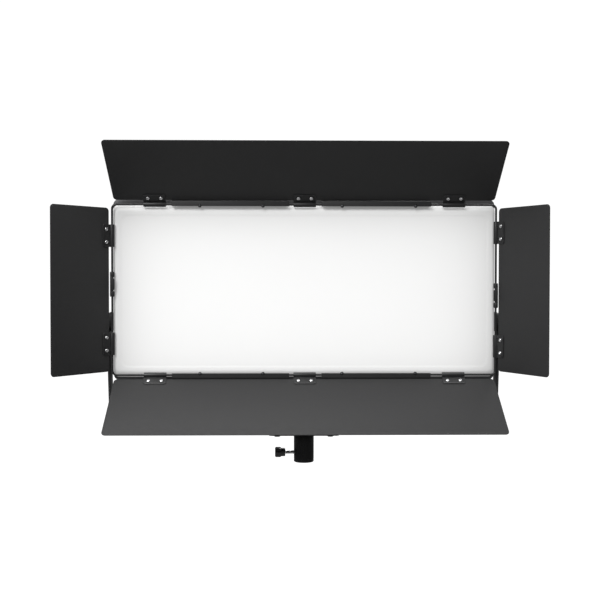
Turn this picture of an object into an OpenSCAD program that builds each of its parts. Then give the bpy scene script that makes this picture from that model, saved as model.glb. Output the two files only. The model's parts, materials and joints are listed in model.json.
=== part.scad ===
// Soft LED panel light with four barn-door leaves, a U-shaped yoke and a stand receiver.
// Millimetres. +Z is up and the light shines along -Y.
// The origin is at the mouth of the receiver's stud bore, on the bore's axis.

/* [Panel] */
// Width of the lamp housing
housing_w = 616; // [560:2:700]
// Height of the lamp housing
housing_h = 292; // [270:2:340]
// Depth of the housing's side walls
housing_d = 50; // [40:1:70]
// Height of the panel's centre above the receiver's mouth
panel_z = 285; // [275:1:310]

/* [Barn doors] */
// Length of the top and bottom leaves, from the hinge axis to the outer edge
long_leaf_l = 123.5; // [100:0.5:130]
// Length of the left and right leaves, from the hinge axis to the outer edge
short_leaf_l = 116; // [90:0.5:125]
// Angle of the top leaf from the panel's plane
top_open = 42; // [20:1:80]
// Angle of the bottom leaf from the panel's plane
bottom_open = 48; // [20:1:80]
// Angle of the left leaf from the panel's plane
left_open = 45; // [20:1:80]
// Angle of the right leaf from the panel's plane
right_open = 57; // [20:1:80]

/* [Yoke and receiver] */
// Drop of the tilt axis below the panel's centre
pivot_drop = 53; // [40:1:60]
// Width of the yoke's flat bar
yoke_w = 30; // [26:1:36]
// Outer diameter of the receiver
receiver_d = 33; // [30:1:40]
// Diameter of the stud bore, for a 16 mm (5/8 inch) stud
stud_bore_d = 16.2; // [16.1:0.05:16.4]

/* [Emitters] */
// LED packages across the board
led_columns = 16; // [8:1:20]
// LED packages up the board
led_rows = 7; // [4:1:9]

/* [Hidden] */
$fn = 48;
eps = 0.02;
corner_fn = 24;

// Depths along Y, counted back from the barn-door wire.
wire_y = -48;
face_y = wire_y + 3;
rim_y = wire_y + 12;
rim_d = 6;
shell_y = rim_y + rim_d;
back_y = shell_y + housing_d;
wall = 1.5;
housing_r = 9;

// Barn-door wire frame, on its centre line.
wire_r = 1.75;
wire_w = housing_w + 0.6;
wire_h = housing_h - 18.5;
wire_bend_r = 7;
bore_gap = 0.05;

// Hinge clips: a barrel rolled round the wire, with a flat plate screwed to the leaf.
sheet = 1.2;
clip_l = 36;
clip_barrel_r = 4;
clip_reach = 18.5;
clip_screw_u = 12.2;
clip_screw_gap = 20.6;
long_clips_x = [-240, 0, 240];
left_clips_z = [-86.5, 86.5];
right_clips_z = [-92, 91];
m3_r = 1.5;
m3_hole_r = 1.6;
m3_head_r = 2.8;
m3_head_h = 1.5;
m3_nut_r = 3.1;
m3_nut_h = 2.2;

// Leaves: half widths at the hinge edge and at the outer edge.
long_leaf_gap = 7.5;
long_leaf_half = [wire_w / 2 - 2.7, wire_w / 2 + 5.1];
long_leaf_lift = 1.7;
short_leaf_gap = 6.2;
short_leaf_half = [wire_h / 2 - 5.65, wire_h / 2 - 3.95];
leaf_r = 6;

// Accessory rails along the top and bottom edges, in front of the wire.
rail_x = [-213, -25, 27, 203];
rail_front = wire_y - 4;
rail_lip_low = -2.8;
rail_top = 6;
rail_t = 1.2;
rail_ears_x = [[-168, -67], [60, 178]];

// Side catches: a clip that turns on the wire and hooks a keeper on the housing's side.
catch_z = 9;
catch_knuckle_gap = 15.6;
catch_knuckle_l = 8.8;
catch_tab_l = 19;
catch_out = 3.2;
catch_leg_l = 24;
keeper_y = rim_y + 6;

// Diffuser tray. Its front part has a lip that overlaps the frame's two short sides.
tray_w = housing_w - 6;
tray_h = housing_h - 15;
tray_drop = 2;
tray_lip_w = wire_w - 1.2;
tray_t = 2.5;
tray_bevel_x = 5;
tray_bevel_z = 9;
tray_r = 8;
recess_w = housing_w - 26;
recess_h = housing_h - 48;

// Heat sink, LED board and light box.
sink_t = 3;
fin_h = 14;
fin_t = 2.2;
fin_pitch = 9;
fin_first = 126;
fin_z = housing_h - 36;
edge_screw_in = 7.5;
cable_x = 60;
board_w = housing_w - 32;
board_h = housing_h - 32;
board_t = 1.6;
led_size = 5;
led_t = 1.2;

// Control box on the back.
box_w = 228;
box_h = 236;
box_d = 40;
box_t = 2.5;
box_r = 10;
box_screw_in = 12;
box_y = back_y + sink_t;
box_back = box_y + box_d;
fascia_w = 196;
fascia_h = 88;
fascia_t = 1.5;
fascia_z = panel_z + 52;
display_size = [76, 40];
display_x = -45;
knob_x = [22, 66];
knob_z = fascia_z + 8;
knob_r = 11;
knob_l = 15;
knob_base = 0.6;
button_x = [22, 66];
button_z = fascia_z - 24;
button_r = 4.5;
shaft_r = 3;
socket_z = panel_z - 62;
inlet_x = -72;
rocker_x = -24;
dmx_x = [24, 66];
rocker_r = 9;
rocker_w = 13;
rocker_tilt = 11;

// Tilt axis.
pivot_z = panel_z - pivot_drop;
boss_r = 16;
boss_l = 8.5;
friction_t = 2;
yoke_t = 4;
arm_x = housing_w / 2 + boss_l + friction_t;
clamp_t = 1.6;
m8_r = 4;
m8_bore = 4.08;
knob_hub_l = 21;

// Yoke and receiver.
receiver_l = 44.5;
stud_bore_l = 36;
plate_t = 1.5;
plate_w = 116;
yoke_z = receiver_l + plate_t;
yoke_foot_x = arm_x + yoke_t - 4;
yoke_bend_r = 34;
lock_z = 15.8;
lock_r = 2.95;
lock_knob_r = 8.6;
lock_knob_x = 30.7;
lock_knob_l = 17;
pad_l = 3;

// ---------- shared shapes ----------

// Rectangle with true round corners, centred.
module round_rect(w, h, r) {
    square([w - 2 * r, h], center = true);
    square([w, h - 2 * r], center = true);
    for (x = [-1, 1], z = [-1, 1])
        translate([x * (w / 2 - r), z * (h / 2 - r)]) circle(r);
}

// Stands a 2D outline drawn in X and Z upright, from depth y back by d.
module slab(y, d) {
    translate([0, y + d, 0]) rotate([90, 0, 0]) linear_extrude(d) children();
}

// A slab centred on the panel.
module panel_slab(y, d) {
    translate([0, 0, panel_z]) slab(y, d) children();
}

// Cylinder along +X from x.
module rod_x(x, l, r) {
    translate([x, 0, 0]) rotate([0, 90, 0]) cylinder(h = l, r = r);
}

// Cylinder along +Y from y.
module rod_y(y, l, r) {
    translate([0, y, 0]) rotate([-90, 0, 0]) cylinder(h = l, r = r);
}

// Pan-head screw with a cross recess. The head stands on z = 0 and the shank goes down.
module pan_screw(head_r, head_h, shank_r, shank_l) {
    recess = head_r * 0.28;
    difference() {
        union() {
            cylinder(h = head_h * 0.6, r = head_r);
            translate([0, 0, head_h * 0.6])
                cylinder(h = head_h * 0.4, r1 = head_r, r2 = head_r * 0.72);
        }
        for (a = [0, 90])
            rotate(a) translate([-head_r * 0.62, -recess / 2, head_h * 0.45])
                cube([head_r * 1.24, recess, head_h]);
    }
    translate([0, 0, -shank_l]) cylinder(h = shank_l + eps, r = shank_r);
}

// ---------- yoke ----------

// Outline of the yoke's outside in X and Z, open at the top.
module yoke_outline(top) {
    half = arm_x + yoke_t;
    offset(r = yoke_bend_r, $fn = 64) offset(delta = -yoke_bend_r) polygon([
        [-half, top], [-half, pivot_z - 24], [-yoke_foot_x, yoke_z],
        [yoke_foot_x, yoke_z], [half, pivot_z - 24], [half, top]
    ]);
}

module yoke() {
    tall = pivot_z + 120;
    color([0.08, 0.08, 0.085]) difference() {
        intersection() {
            slab(-yoke_w / 2, yoke_w) difference() {
                yoke_outline(tall);
                offset(delta = -yoke_t) yoke_outline(tall + 60);
            }
            union() {
                translate([-arm_x - 10, -yoke_w / 2, 0])
                    cube([2 * arm_x + 20, yoke_w, pivot_z]);
                translate([0, 0, pivot_z]) rod_x(-arm_x - 10, 2 * arm_x + 20, yoke_w / 2);
            }
        }
        translate([0, 0, pivot_z]) rod_x(-arm_x - 10, 2 * arm_x + 20, m8_bore);
        translate([0, 0, yoke_z - 1]) cylinder(h = yoke_t + 2, r = 5.2);
        for (s = [-1, 1])
            translate([s * 44, 0, yoke_z - 1]) cylinder(h = yoke_t + 2, r = 3.2);
    }
}

module yoke_base_plate() {
    color([0.07, 0.07, 0.075]) difference() {
        translate([0, 0, receiver_l]) linear_extrude(plate_t) round_rect(plate_w, yoke_w, 6);
        translate([0, 0, receiver_l - 1]) cylinder(h = plate_t + 2, r = 5.2);
        for (s = [-1, 1])
            translate([s * 44, 0, receiver_l - 1]) cylinder(h = plate_t + 2, r = 3.2);
    }
}

module receiver() {
    r = receiver_d / 2;
    chamfer = 1.2;
    bolt_hole = receiver_l - stud_bore_l;
    color([0.05, 0.05, 0.055]) difference() {
        union() {
            cylinder(h = chamfer, r1 = r - chamfer, r2 = r);
            translate([0, 0, chamfer]) cylinder(h = receiver_l - chamfer, r = r);
        }
        translate([0, 0, -1]) cylinder(h = stud_bore_l + 1, r = stud_bore_d / 2);
        translate([0, 0, stud_bore_l - 1]) cylinder(h = bolt_hole + 2, r = 5.05);
        translate([0, 0, lock_z]) rod_x(-r - 1, r, lock_r + bore_gap);
        translate([0, 0, 4.2]) rotate_extrude() translate([r - 0.5, 0]) square([1, 0.9]);
    }
}

// The centre bolt that holds the receiver, and the two bolts of the base plate with their nuts.
module receiver_bolts() {
    head_z = yoke_z + yoke_t;
    color([0.1, 0.1, 0.1]) {
        difference() {
            union() {
                translate([0, 0, head_z]) cylinder(h = 1.6, r = 10);
                translate([0, 0, head_z + 1.6]) cylinder(h = 8, r = 8);
                translate([0, 0, stud_bore_l + 0.5]) cylinder(h = head_z - stud_bore_l, r = 5);
            }
            translate([0, 0, head_z + 5]) cylinder(h = 8, r = 4.6, $fn = 6);
        }
        for (s = [-1, 1]) translate([s * 44, 0, 0]) {
            translate([0, 0, head_z]) cylinder(h = 4, r = 5.8, $fn = 6);
            translate([0, 0, receiver_l - 0.5]) cylinder(h = plate_t + yoke_t + 1, r = 3);
            translate([0, 0, receiver_l - 3]) cylinder(h = 3, r = 5.2);
        }
    }
}

// ---------- receiver lock screw ----------

module receiver_lock_pad() {
    tip = -stud_bore_d / 2 - 0.25;
    color([0.75, 0.62, 0.35]) translate([0, 0, lock_z]) rod_x(tip - pad_l, pad_l, 2.4);
}

module receiver_lock_stem() {
    start = -stud_bore_d / 2 - 0.25 - pad_l - 0.05;
    color([0.55, 0.55, 0.56]) translate([0, 0, lock_z]) {
        rod_x(-lock_knob_x - 8, lock_knob_x + 8 + start, lock_r);
    }
}

module receiver_lock_knob() {
    color([0.06, 0.06, 0.06]) translate([-lock_knob_x, 0, lock_z]) rotate([0, -90, 0])
        difference() {
            union() {
                cylinder(h = 8, r = lock_knob_r - 1.6);
                translate([0, 0, 7]) cylinder(h = lock_knob_l - 7, r = lock_knob_r - 1);
                for (a = [0 : 45 : 315])
                    rotate(a) translate([lock_knob_r - 2, 0, 7.5])
                        cylinder(h = lock_knob_l - 8.2, r = 2, $fn = 24);
            }
            translate([0, 0, -1]) cylinder(h = 9.2, r = lock_r + 0.02);
        }
}

// ---------- tilt pivots ----------

// Runs children on the side s, -1 for left and 1 for right, at the tilt axis.
module at_pivot(s) {
    translate([0, 0, pivot_z]) mirror([s < 0 ? 1 : 0, 0, 0]) children();
}

module pivot_bosses() {
    color([0.12, 0.12, 0.125]) for (s = [-1, 1]) at_pivot(s) difference() {
        rod_x(housing_w / 2, boss_l, boss_r);
        rod_x(housing_w / 2 + 0.8, boss_l, m8_r + bore_gap);
    }
}

module friction_washers() {
    color([0.2, 0.2, 0.2]) for (s = [-1, 1]) at_pivot(s) difference() {
        rod_x(housing_w / 2 + boss_l, friction_t, boss_r);
        rod_x(housing_w / 2 + boss_l - 1, friction_t + 2, m8_r + 0.2);
    }
}

module clamp_washer(s) {
    color([0.6, 0.6, 0.61]) at_pivot(s) difference() {
        rod_x(arm_x + yoke_t, clamp_t, 11);
        rod_x(arm_x + yoke_t - 1, clamp_t + 2, m8_r + bore_gap);
    }
}

module tilt_bolt(s) {
    start = housing_w / 2 + 1.2;
    color([0.55, 0.55, 0.56]) at_pivot(s)
        rod_x(start, arm_x + yoke_t + clamp_t + 11.9 - start, m8_r);
}

// Lobed locking knob with a round hub against the clamp washer.
module tilt_knob(s) {
    hub_x = arm_x + yoke_t + clamp_t;
    color([0.06, 0.06, 0.065]) at_pivot(s) difference() {
        union() {
            rod_x(hub_x, 7, 9.5);
            rod_x(hub_x + 6, knob_hub_l - 6, 14.5);
            rod_x(hub_x + knob_hub_l - eps, 1.2, 10);
            for (a = [0 : 60 : 300]) rotate([a, 0, 0]) translate([0, 13.5, 0])
                rod_x(hub_x + 6.8, knob_hub_l - 7.6, 4.6);
        }
        rod_x(hub_x - 1, 13, m8_r + 0.02);
    }
}

// ---------- lamp housing ----------

module housing_shell() {
    flange = 14;
    color([0.09, 0.09, 0.095]) {
        panel_slab(shell_y, housing_d - wall) difference() {
            round_rect(housing_w, housing_h, housing_r);
            round_rect(housing_w - 2 * wall, housing_h - 2 * wall, housing_r - wall);
        }
        difference() {
            panel_slab(back_y - wall, wall) difference() {
                round_rect(housing_w, housing_h, housing_r);
                round_rect(housing_w - 2 * flange, housing_h - 2 * flange, 4);
            }
            at_edge_screws() rod_y(-sink_t - wall - 1, 4, m3_r + bore_gap);
        }
    }
}

module front_frame() {
    color([0.1, 0.1, 0.105]) panel_slab(rim_y, rim_d) difference() {
        round_rect(housing_w, housing_h, housing_r);
        translate([0, -tray_drop]) round_rect(tray_w + 0.6, tray_h + 0.6, tray_r);
    }
}

// A slab of the tray's shape, dropped below the housing's centre.
module tray_slab(y, depth) {
    panel_slab(y, depth) translate([0, -tray_drop]) children();
}

// One skin of the diffuser: a bevelled block, grown inwards by the wall thickness.
module tray_block(inset) {
    flat_w = tray_lip_w - 2 * tray_bevel_x;
    flat_h = tray_h - 2 * tray_bevel_z;
    hull() {
        tray_slab(face_y + inset, 0.2)
            round_rect(flat_w - inset, flat_h - inset, tray_r, $fn = corner_fn);
        tray_slab(face_y + tray_bevel_x + inset, 0.2)
            round_rect(tray_lip_w - 2 * inset, tray_h - tray_bevel_x - 2 * inset, tray_r, $fn = corner_fn);
        tray_slab(rim_y - 0.25, 0.2)
            round_rect(tray_lip_w - 2 * inset, tray_h - 2 * inset, tray_r, $fn = corner_fn);
    }
}

module tray_opening() {
    round_rect(tray_w - 2 * tray_t, tray_h - 2 * tray_t, 5);
}

module diffuser() {
    color([0.94, 0.94, 0.94]) {
        difference() {
            tray_block(0);
            translate([0, eps, 0]) tray_block(tray_t);
            tray_slab(rim_y - 0.5, 20) tray_opening();
            tray_slab(face_y - 1, 1.8) round_rect(recess_w, recess_h, 12);
        }
        tray_slab(rim_y - 1.6, 1.55) difference() {
            round_rect(tray_lip_w, tray_h, tray_r);
            tray_opening();
        }
        tray_slab(rim_y - 1, rim_d + 1.2) difference() {
            round_rect(tray_w, tray_h, tray_r - 0.3);
            tray_opening();
        }
        panel_slab(shell_y + 0.1, 1.8) difference() {
            round_rect(housing_w - 2 * wall - 0.6, housing_h - 2 * wall - 0.6, housing_r - wall);
            translate([0, -tray_drop]) tray_opening();
        }
    }
}

module reflector_frame() {
    color([0.96, 0.96, 0.96]) panel_slab(shell_y + 2, housing_d - wall - 2.1) difference() {
        square([housing_w - 16, housing_h - 16], center = true);
        square([housing_w - 19, housing_h - 19], center = true);
    }
}

module led_board() {
    color([0.92, 0.93, 0.92]) difference() {
        panel_slab(back_y - board_t, board_t) square([board_w, board_h], center = true);
        translate([cable_x, 0, panel_z]) rod_y(back_y - board_t - 1, board_t + 2, 5);
    }
}

module led_emitters() {
    pitch_x = board_w / led_columns;
    pitch_z = board_h / led_rows;
    color([0.95, 0.85, 0.35]) for (i = [0 : led_columns - 1], j = [0 : led_rows - 1])
        translate([(i - (led_columns - 1) / 2) * pitch_x - led_size / 2,
                   back_y - board_t - led_t,
                   panel_z + (j - (led_rows - 1) / 2) * pitch_z - led_size / 2])
            cube([led_size, led_t, led_size]);
}

// Runs children at each screw along the heat sink's top and bottom edges, on its back face.
module at_edge_screws() {
    for (part = [-1, -0.62, -0.24, 0.24, 0.62, 1], s = [-1, 1])
        translate([part * (housing_w / 2 - edge_screw_in), back_y + sink_t,
                   panel_z + s * (housing_h / 2 - edge_screw_in)]) children();
}

// Runs children at each corner screw of the control box, on the box's back face.
module at_box_screws() {
    for (x = [-1, 1], z = [-1, 1])
        translate([x * (box_w / 2 - box_screw_in), box_back, panel_z + z * (box_h / 2 - box_screw_in)])
            children();
}

// Finned plate. Four standoffs on it carry the control box.
module heat_sink() {
    standoff = box_d - box_t - 0.05;
    color([0.07, 0.07, 0.075]) difference() {
        union() {
            panel_slab(back_y, sink_t) round_rect(housing_w - 1, housing_h - 1, housing_r);
            for (s = [-1, 1], x = [fin_first : fin_pitch : housing_w / 2 - 14])
                translate([s * x - fin_t / 2, back_y + sink_t - eps, panel_z - fin_z / 2])
                    cube([fin_t, fin_h, fin_z]);
            at_box_screws() rod_y(-box_d - eps, standoff + eps, 4);
        }
        translate([cable_x, 0, panel_z]) rod_y(back_y - 1, sink_t + 2, 5);
        at_edge_screws() rod_y(-sink_t - 1, sink_t + 2, m3_r + bore_gap);
        at_box_screws() rod_y(-box_t - 12, 13, m3_r + bore_gap);
    }
}

// Screws round the heat sink's edge and at the corners of the control box.
module housing_screws() {
    color([0.3, 0.3, 0.31]) {
        at_edge_screws() rotate([-90, 0, 0]) pan_screw(2.9, 1.8, m3_r, sink_t + wall);
        at_box_screws() rotate([-90, 0, 0]) pan_screw(2.9, 1.8, m3_r, box_t + 9);
    }
}

// ---------- barn-door wire, rails and catches ----------

module barndoor_wire() {
    x = wire_w / 2;
    z = wire_h / 2;
    b = wire_bend_r;
    color([0.07, 0.07, 0.07]) translate([0, wire_y, panel_z]) {
        for (s = [-1, 1]) {
            translate([-x + b, 0, s * z]) rotate([0, 90, 0]) cylinder(h = 2 * (x - b), r = wire_r);
            translate([s * x, 0, -z + b]) cylinder(h = 2 * (z - b), r = wire_r);
        }
        for (i = [0 : 3]) {
            sx = (i == 0 || i == 3) ? 1 : -1;
            sz = (i < 2) ? 1 : -1;
            translate([sx * (x - b), 0, sz * (z - b)]) rotate([90, 0, 0]) rotate(i * 90)
                rotate_extrude(angle = 90) translate([b, 0]) circle(wire_r);
        }
    }
}

// One rail at the top edge: a flange from the front frame, turned down in front of the wire.
module rail(x0, x1, ears) {
    z = wire_h / 2;
    difference() {
        union() {
            translate([x0, rail_front, z + rail_top - rail_t])
                cube([x1 - x0, rim_y - rail_front, rail_t]);
            translate([x0, rail_front, z + rail_lip_low])
                cube([x1 - x0, rail_t, rail_top - rail_lip_low]);
            translate([x0, rim_y - rail_t, z + rail_top - rail_t])
                cube([x1 - x0, rail_t, housing_h / 2 - z - rail_top + rail_t]);
            for (x = ears) translate([x, 0, z + rail_lip_low + 0.6]) rod_y(rail_front, rail_t, 2.9);
        }
        for (x = ears) translate([x, 0, z + rail_lip_low + 0.6])
            rod_y(rail_front - 1, rail_t + 2, 1.05);
    }
}

module all_rails() {
    for (s = [0, 1]) translate([0, 0, panel_z]) mirror([0, 0, s]) children();
}

module accessory_rails() {
    color([0.08, 0.08, 0.085]) all_rails() {
        rail(rail_x[0], rail_x[1], rail_ears_x[0]);
        rail(rail_x[2], rail_x[3], rail_ears_x[1]);
    }
}

module rail_rivets() {
    z = wire_h / 2 + rail_lip_low + 0.6;
    color([0.12, 0.12, 0.12]) all_rails() for (pair = rail_ears_x, x = pair)
        translate([x, 0, z]) {
            rod_y(rail_front - 1, 1, 2);
            rod_y(rail_front - eps, rail_t + 0.3, 1);
        }
}

// Left catch, drawn at the origin of its hinge: +X is towards the panel's centre.
module catch_clip() {
    tab_reach = 4.2;
    color([0.1, 0.1, 0.1]) difference() {
        union() {
            for (s = [-1, 1]) translate([0, 0, s * catch_knuckle_gap - catch_knuckle_l / 2])
                cylinder(h = catch_knuckle_l, r = 3.8);
            translate([-catch_out, -3.9, -catch_knuckle_gap])
                cube([1.3, 5, 2 * catch_knuckle_gap]);
            translate([-catch_out, -3.9, -catch_tab_l / 2]) cube([catch_out + tab_reach, 1.4, catch_tab_l]);
            translate([-catch_out, -3.9, -catch_tab_l / 2]) cube([1.3, catch_leg_l + 3.9, catch_tab_l]);
            translate([-catch_out, catch_leg_l - 2.2, -catch_tab_l / 2 + 2])
                cube([catch_out - 0.1, 2.2, catch_tab_l - 4]);
        }
        translate([0, 0, -40]) cylinder(h = 80, r = wire_r + bore_gap);
    }
}

module catch_left() {
    translate([-wire_w / 2, wire_y, panel_z + catch_z]) catch_clip();
}

module catch_right() {
    translate([wire_w / 2, wire_y, panel_z - catch_z]) mirror([1, 0, 0]) catch_clip();
}

module catch_keepers() {
    color([0.55, 0.55, 0.55]) for (s = [-1, 1])
        translate([s * (housing_w / 2 + 0.75) - 0.75, wire_y + catch_leg_l - 5.6, panel_z - s * catch_z - 8])
            cube([1.5, 3, 16]);
}

// ---------- leaves and hinge clips ----------
// Each leaf is drawn lying in the panel's plane: +X along the hinge, +Y outwards from the wire's
// axis, and +Z towards the light, so its inner face carries the clips.

module leaf_sheet(gap, length, half, lift, clips) {
    difference() {
        translate([0, 0, -lift - sheet]) linear_extrude(sheet) hull() {
            for (s = [-1, 1]) {
                translate([s * (half[0] - leaf_r), gap + leaf_r]) circle(leaf_r, $fn = corner_fn);
                translate([s * (half[1] - leaf_r), length - leaf_r]) circle(leaf_r, $fn = corner_fn);
            }
        }
        for (x = clips, s = [-1, 1])
            translate([x + s * clip_screw_gap / 2, clip_screw_u, -lift - sheet - 1])
                cylinder(h = sheet + 2, r = m3_hole_r);
    }
}

module clip_plates(lift, clips) {
    for (x = clips) translate([x, 0, 0]) difference() {
        union() {
            rod_x(-clip_l / 2, clip_l, clip_barrel_r);
            translate([-clip_l / 2, 0, -lift]) cube([clip_l, clip_reach, sheet]);
        }
        rod_x(-clip_l, 2 * clip_l, wire_r + bore_gap);
        for (s = [-1, 1]) translate([s * clip_screw_gap / 2, clip_screw_u, -lift - 1])
            cylinder(h = sheet + 2, r = m3_hole_r);
    }
}

module clip_screws(lift, clips) {
    for (x = clips, s = [-1, 1])
        translate([x + s * clip_screw_gap / 2, clip_screw_u, sheet - lift]) {
            rotate(x * 7 + s * 20) pan_screw(m3_head_r, m3_head_h, m3_r, 2 * sheet + m3_nut_h + 0.6);
            translate([0, 0, -2 * sheet - m3_nut_h]) difference() {
                cylinder(h = m3_nut_h, r = m3_nut_r, $fn = 6);
                translate([0, 0, -1]) cylinder(h = m3_nut_h + 2, r = m3_r + eps);
            }
        }
}

// Puts a leaf's drawing on its side of the wire frame, opened by an angle.
// side 0 is top, 1 is left, 2 is bottom and 3 is right.
module on_side(side, open) {
    reach = (side % 2 == 0) ? wire_h / 2 : wire_w / 2;
    translate([0, wire_y, panel_z]) rotate([0, -90 * side, 0]) translate([0, 0, reach])
        rotate([90 + open, 0, 0]) children();
}

leaf_black = [0.11, 0.11, 0.115];
clip_black = [0.06, 0.06, 0.065];
screw_silver = [0.75, 0.75, 0.76];

module long_leaf(side, open) {
    color(leaf_black) on_side(side, open)
        leaf_sheet(long_leaf_gap, long_leaf_l, long_leaf_half, long_leaf_lift, long_clips_x);
}

module long_clips(side, open) {
    color(clip_black) on_side(side, open) clip_plates(long_leaf_lift, long_clips_x);
}

module long_screws(side, open) {
    color(screw_silver) on_side(side, open) clip_screws(long_leaf_lift, long_clips_x);
}

module short_leaf(side, open, clips) {
    color(leaf_black) on_side(side, open)
        leaf_sheet(short_leaf_gap, short_leaf_l, short_leaf_half, 0, clips);
}

module short_clips(side, open, clips) {
    color(clip_black) on_side(side, open) clip_plates(0, clips);
}

module short_screws(side, open, clips) {
    color(screw_silver) on_side(side, open) clip_screws(0, clips);
}

// ---------- control box and electronics ----------

// Moves children from a spot on the box's back face: +Y out of the face.
module on_back(x, z, y = box_back) {
    translate([x, y, z]) children();
}

// Puts a block drawn from its corner at the display's place, starting at depth y.
module at_display(y, inset) {
    translate([display_x - display_size.x / 2 + inset, y, fascia_z + 8 - display_size.y / 2 + inset])
        children();
}

module box_outline(inset) {
    hull() {
        panel_slab(box_y, box_d - 4 - inset)
            round_rect(box_w - 2 * inset, box_h - 2 * inset, box_r - inset, $fn = corner_fn);
        panel_slab(box_y, box_d - inset)
            round_rect(box_w - 2 * inset - 7, box_h - 2 * inset - 7, box_r - inset, $fn = corner_fn);
    }
}

module control_box() {
    slot = 3;
    color([0.1, 0.1, 0.105]) difference() {
        box_outline(0);
        translate([0, -eps, 0]) box_outline(box_t);
        for (i = [-5 : 5], s = [-1, 1]) translate([i * 15 - 4, box_y + 12, panel_z + s * box_h / 2 - 5])
            cube([8, 14, 10]);
        for (i = [0 : 6], s = [-1, 1])
            translate([s * box_w / 2 - 5, box_y + 8, panel_z - 36 + i * 12 - slot / 2])
                cube([10, 20, slot]);
        at_display(box_back - 6, 0) cube([display_size.x, 12, display_size.y]);
        for (x = knob_x) on_back(x, knob_z) rod_y(-6, 12, 4.6);
        for (x = button_x) on_back(x, button_z) rod_y(-6, 12, button_r + 0.4);
        on_back(inlet_x, socket_z, box_back - 6) translate([-14.2, 0, -10.7]) cube([28.4, 12, 21.4]);
        on_back(rocker_x, socket_z, box_back - 6) translate([-9.6, 0, -12.1]) cube([19.2, 12, 24.2]);
        for (x = dmx_x) on_back(x, socket_z) rod_y(-6, 12, 11.9);
        at_box_screws() rod_y(-box_t - 1, box_t + 2, m3_hole_r);
    }
}

module control_fascia() {
    color([0.16, 0.16, 0.165]) difference() {
        translate([0, 0, fascia_z]) slab(box_back, fascia_t) round_rect(fascia_w, fascia_h, 5);
        at_display(box_back - 1, 0) cube([display_size.x, 4, display_size.y]);
        for (x = knob_x) on_back(x, knob_z) rod_y(-1, 4, 4.6);
        for (x = button_x) on_back(x, button_z) rod_y(-1, 4, button_r + 0.3);
    }
}

module display_window() {
    color([0.03, 0.03, 0.04]) at_display(box_back - 0.6, 0.2)
        cube([display_size.x - 0.4, 1.8, display_size.y - 0.4]);
}

module display_module() {
    color([0.25, 0.3, 0.35]) at_display(box_back - 5, 1)
        cube([display_size.x - 2, 4.2, display_size.y - 2]);
}

module control_board() {
    y = box_back - 8;
    color([0.05, 0.3, 0.15]) {
        translate([-fascia_w / 2 + 4, y - 1.6, fascia_z - fascia_h / 2 + 4])
            cube([fascia_w - 8, 1.6, fascia_h - 8]);
        for (x = button_x) translate([x - 3, y, button_z - 3]) cube([6, 2.6, 6]);
    }
}

// Rotary encoders on the control board: a square body and a threaded bush round the shaft.
module encoder_bodies() {
    color([0.6, 0.6, 0.6]) for (x = knob_x) on_back(x, knob_z) difference() {
        union() {
            translate([-6, -7.95, -6]) cube([12, 4.9, 12]);
            rod_y(-3.1, 3.4, 4.3);
        }
        rod_y(-7, 12, shaft_r + bore_gap);
    }
}

// A control knob with its D-section shaft and a pointer groove.
module control_knob(x) {
    color([0.07, 0.07, 0.07]) on_back(x, knob_z) {
        rod_y(-6.5, 6.5 + fascia_t + knob_base + 8, shaft_r);
        difference() {
            union() {
                rod_y(fascia_t + knob_base, knob_l - 1, knob_r - 0.6);
                rod_y(fascia_t + knob_base, knob_l, knob_r - 1.6);
                for (a = [0 : 15 : 345]) rotate([0, a, 0]) translate([knob_r - 1, 0, 0])
                    rod_y(fascia_t + knob_base + 2, knob_l - 4, 0.8, $fn = 16);
            }
            rod_y(fascia_t, knob_base + 8.2, shaft_r + 0.02);
            translate([-0.6, fascia_t + knob_base + knob_l - 0.8, 3]) cube([1.2, 2, 6]);
        }
    }
}

// A push button: cap, retaining flange behind the wall and a stem to the switch.
module push_button(x) {
    color([0.2, 0.2, 0.2]) on_back(x, button_z) {
        rod_y(-box_t - 0.1, box_t + fascia_t + 2, button_r);
        rod_y(-box_t - 1.1, 1.02, button_r + 1.4);
        rod_y(-box_t - 1.6, 0.6, 1.5);
    }
}

module rocker_bezel() {
    color([0.05, 0.05, 0.05]) on_back(rocker_x, socket_z) difference() {
        union() {
            translate([-11.5, 0, -14]) cube([23, 2, 28]);
            translate([-9.4, -14, -11.9]) cube([18.8, 14.1, 23.8]);
        }
        translate([-rocker_w / 2 - 0.3, -11, -rocker_r - 0.4])
            cube([rocker_w + 0.6, 14, 2 * rocker_r + 0.8]);
        translate([0, -1, 0]) rod_x(-rocker_w / 2 - 1.5, rocker_w + 3, 1.55);
    }
}

// The rocker turns on two stub pins about X. Its face is a shallow V, and it rests switched off.
module power_rocker() {
    color([0.12, 0.12, 0.12]) on_back(rocker_x, socket_z)
        translate([0, -1, 0]) rotate([rocker_tilt, 0, 0]) {
        intersection() {
            rod_x(-rocker_w / 2, rocker_w, rocker_r);
            translate([-rocker_w / 2, 0, 0]) rotate([90, 0, 90]) linear_extrude(rocker_w)
                polygon([[-3, -rocker_r], [6.4, -rocker_r], [3.6, 0], [6.4, rocker_r], [-3, rocker_r]]);
        }
        rod_x(-rocker_w / 2 - 1.3, rocker_w + 2.6, 1.5);
    }
}

// Height of an inlet pin above the inlet's centre: the middle one stands higher.
function inlet_pin_z(x) = x == 0 ? 2 : -2;

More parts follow.
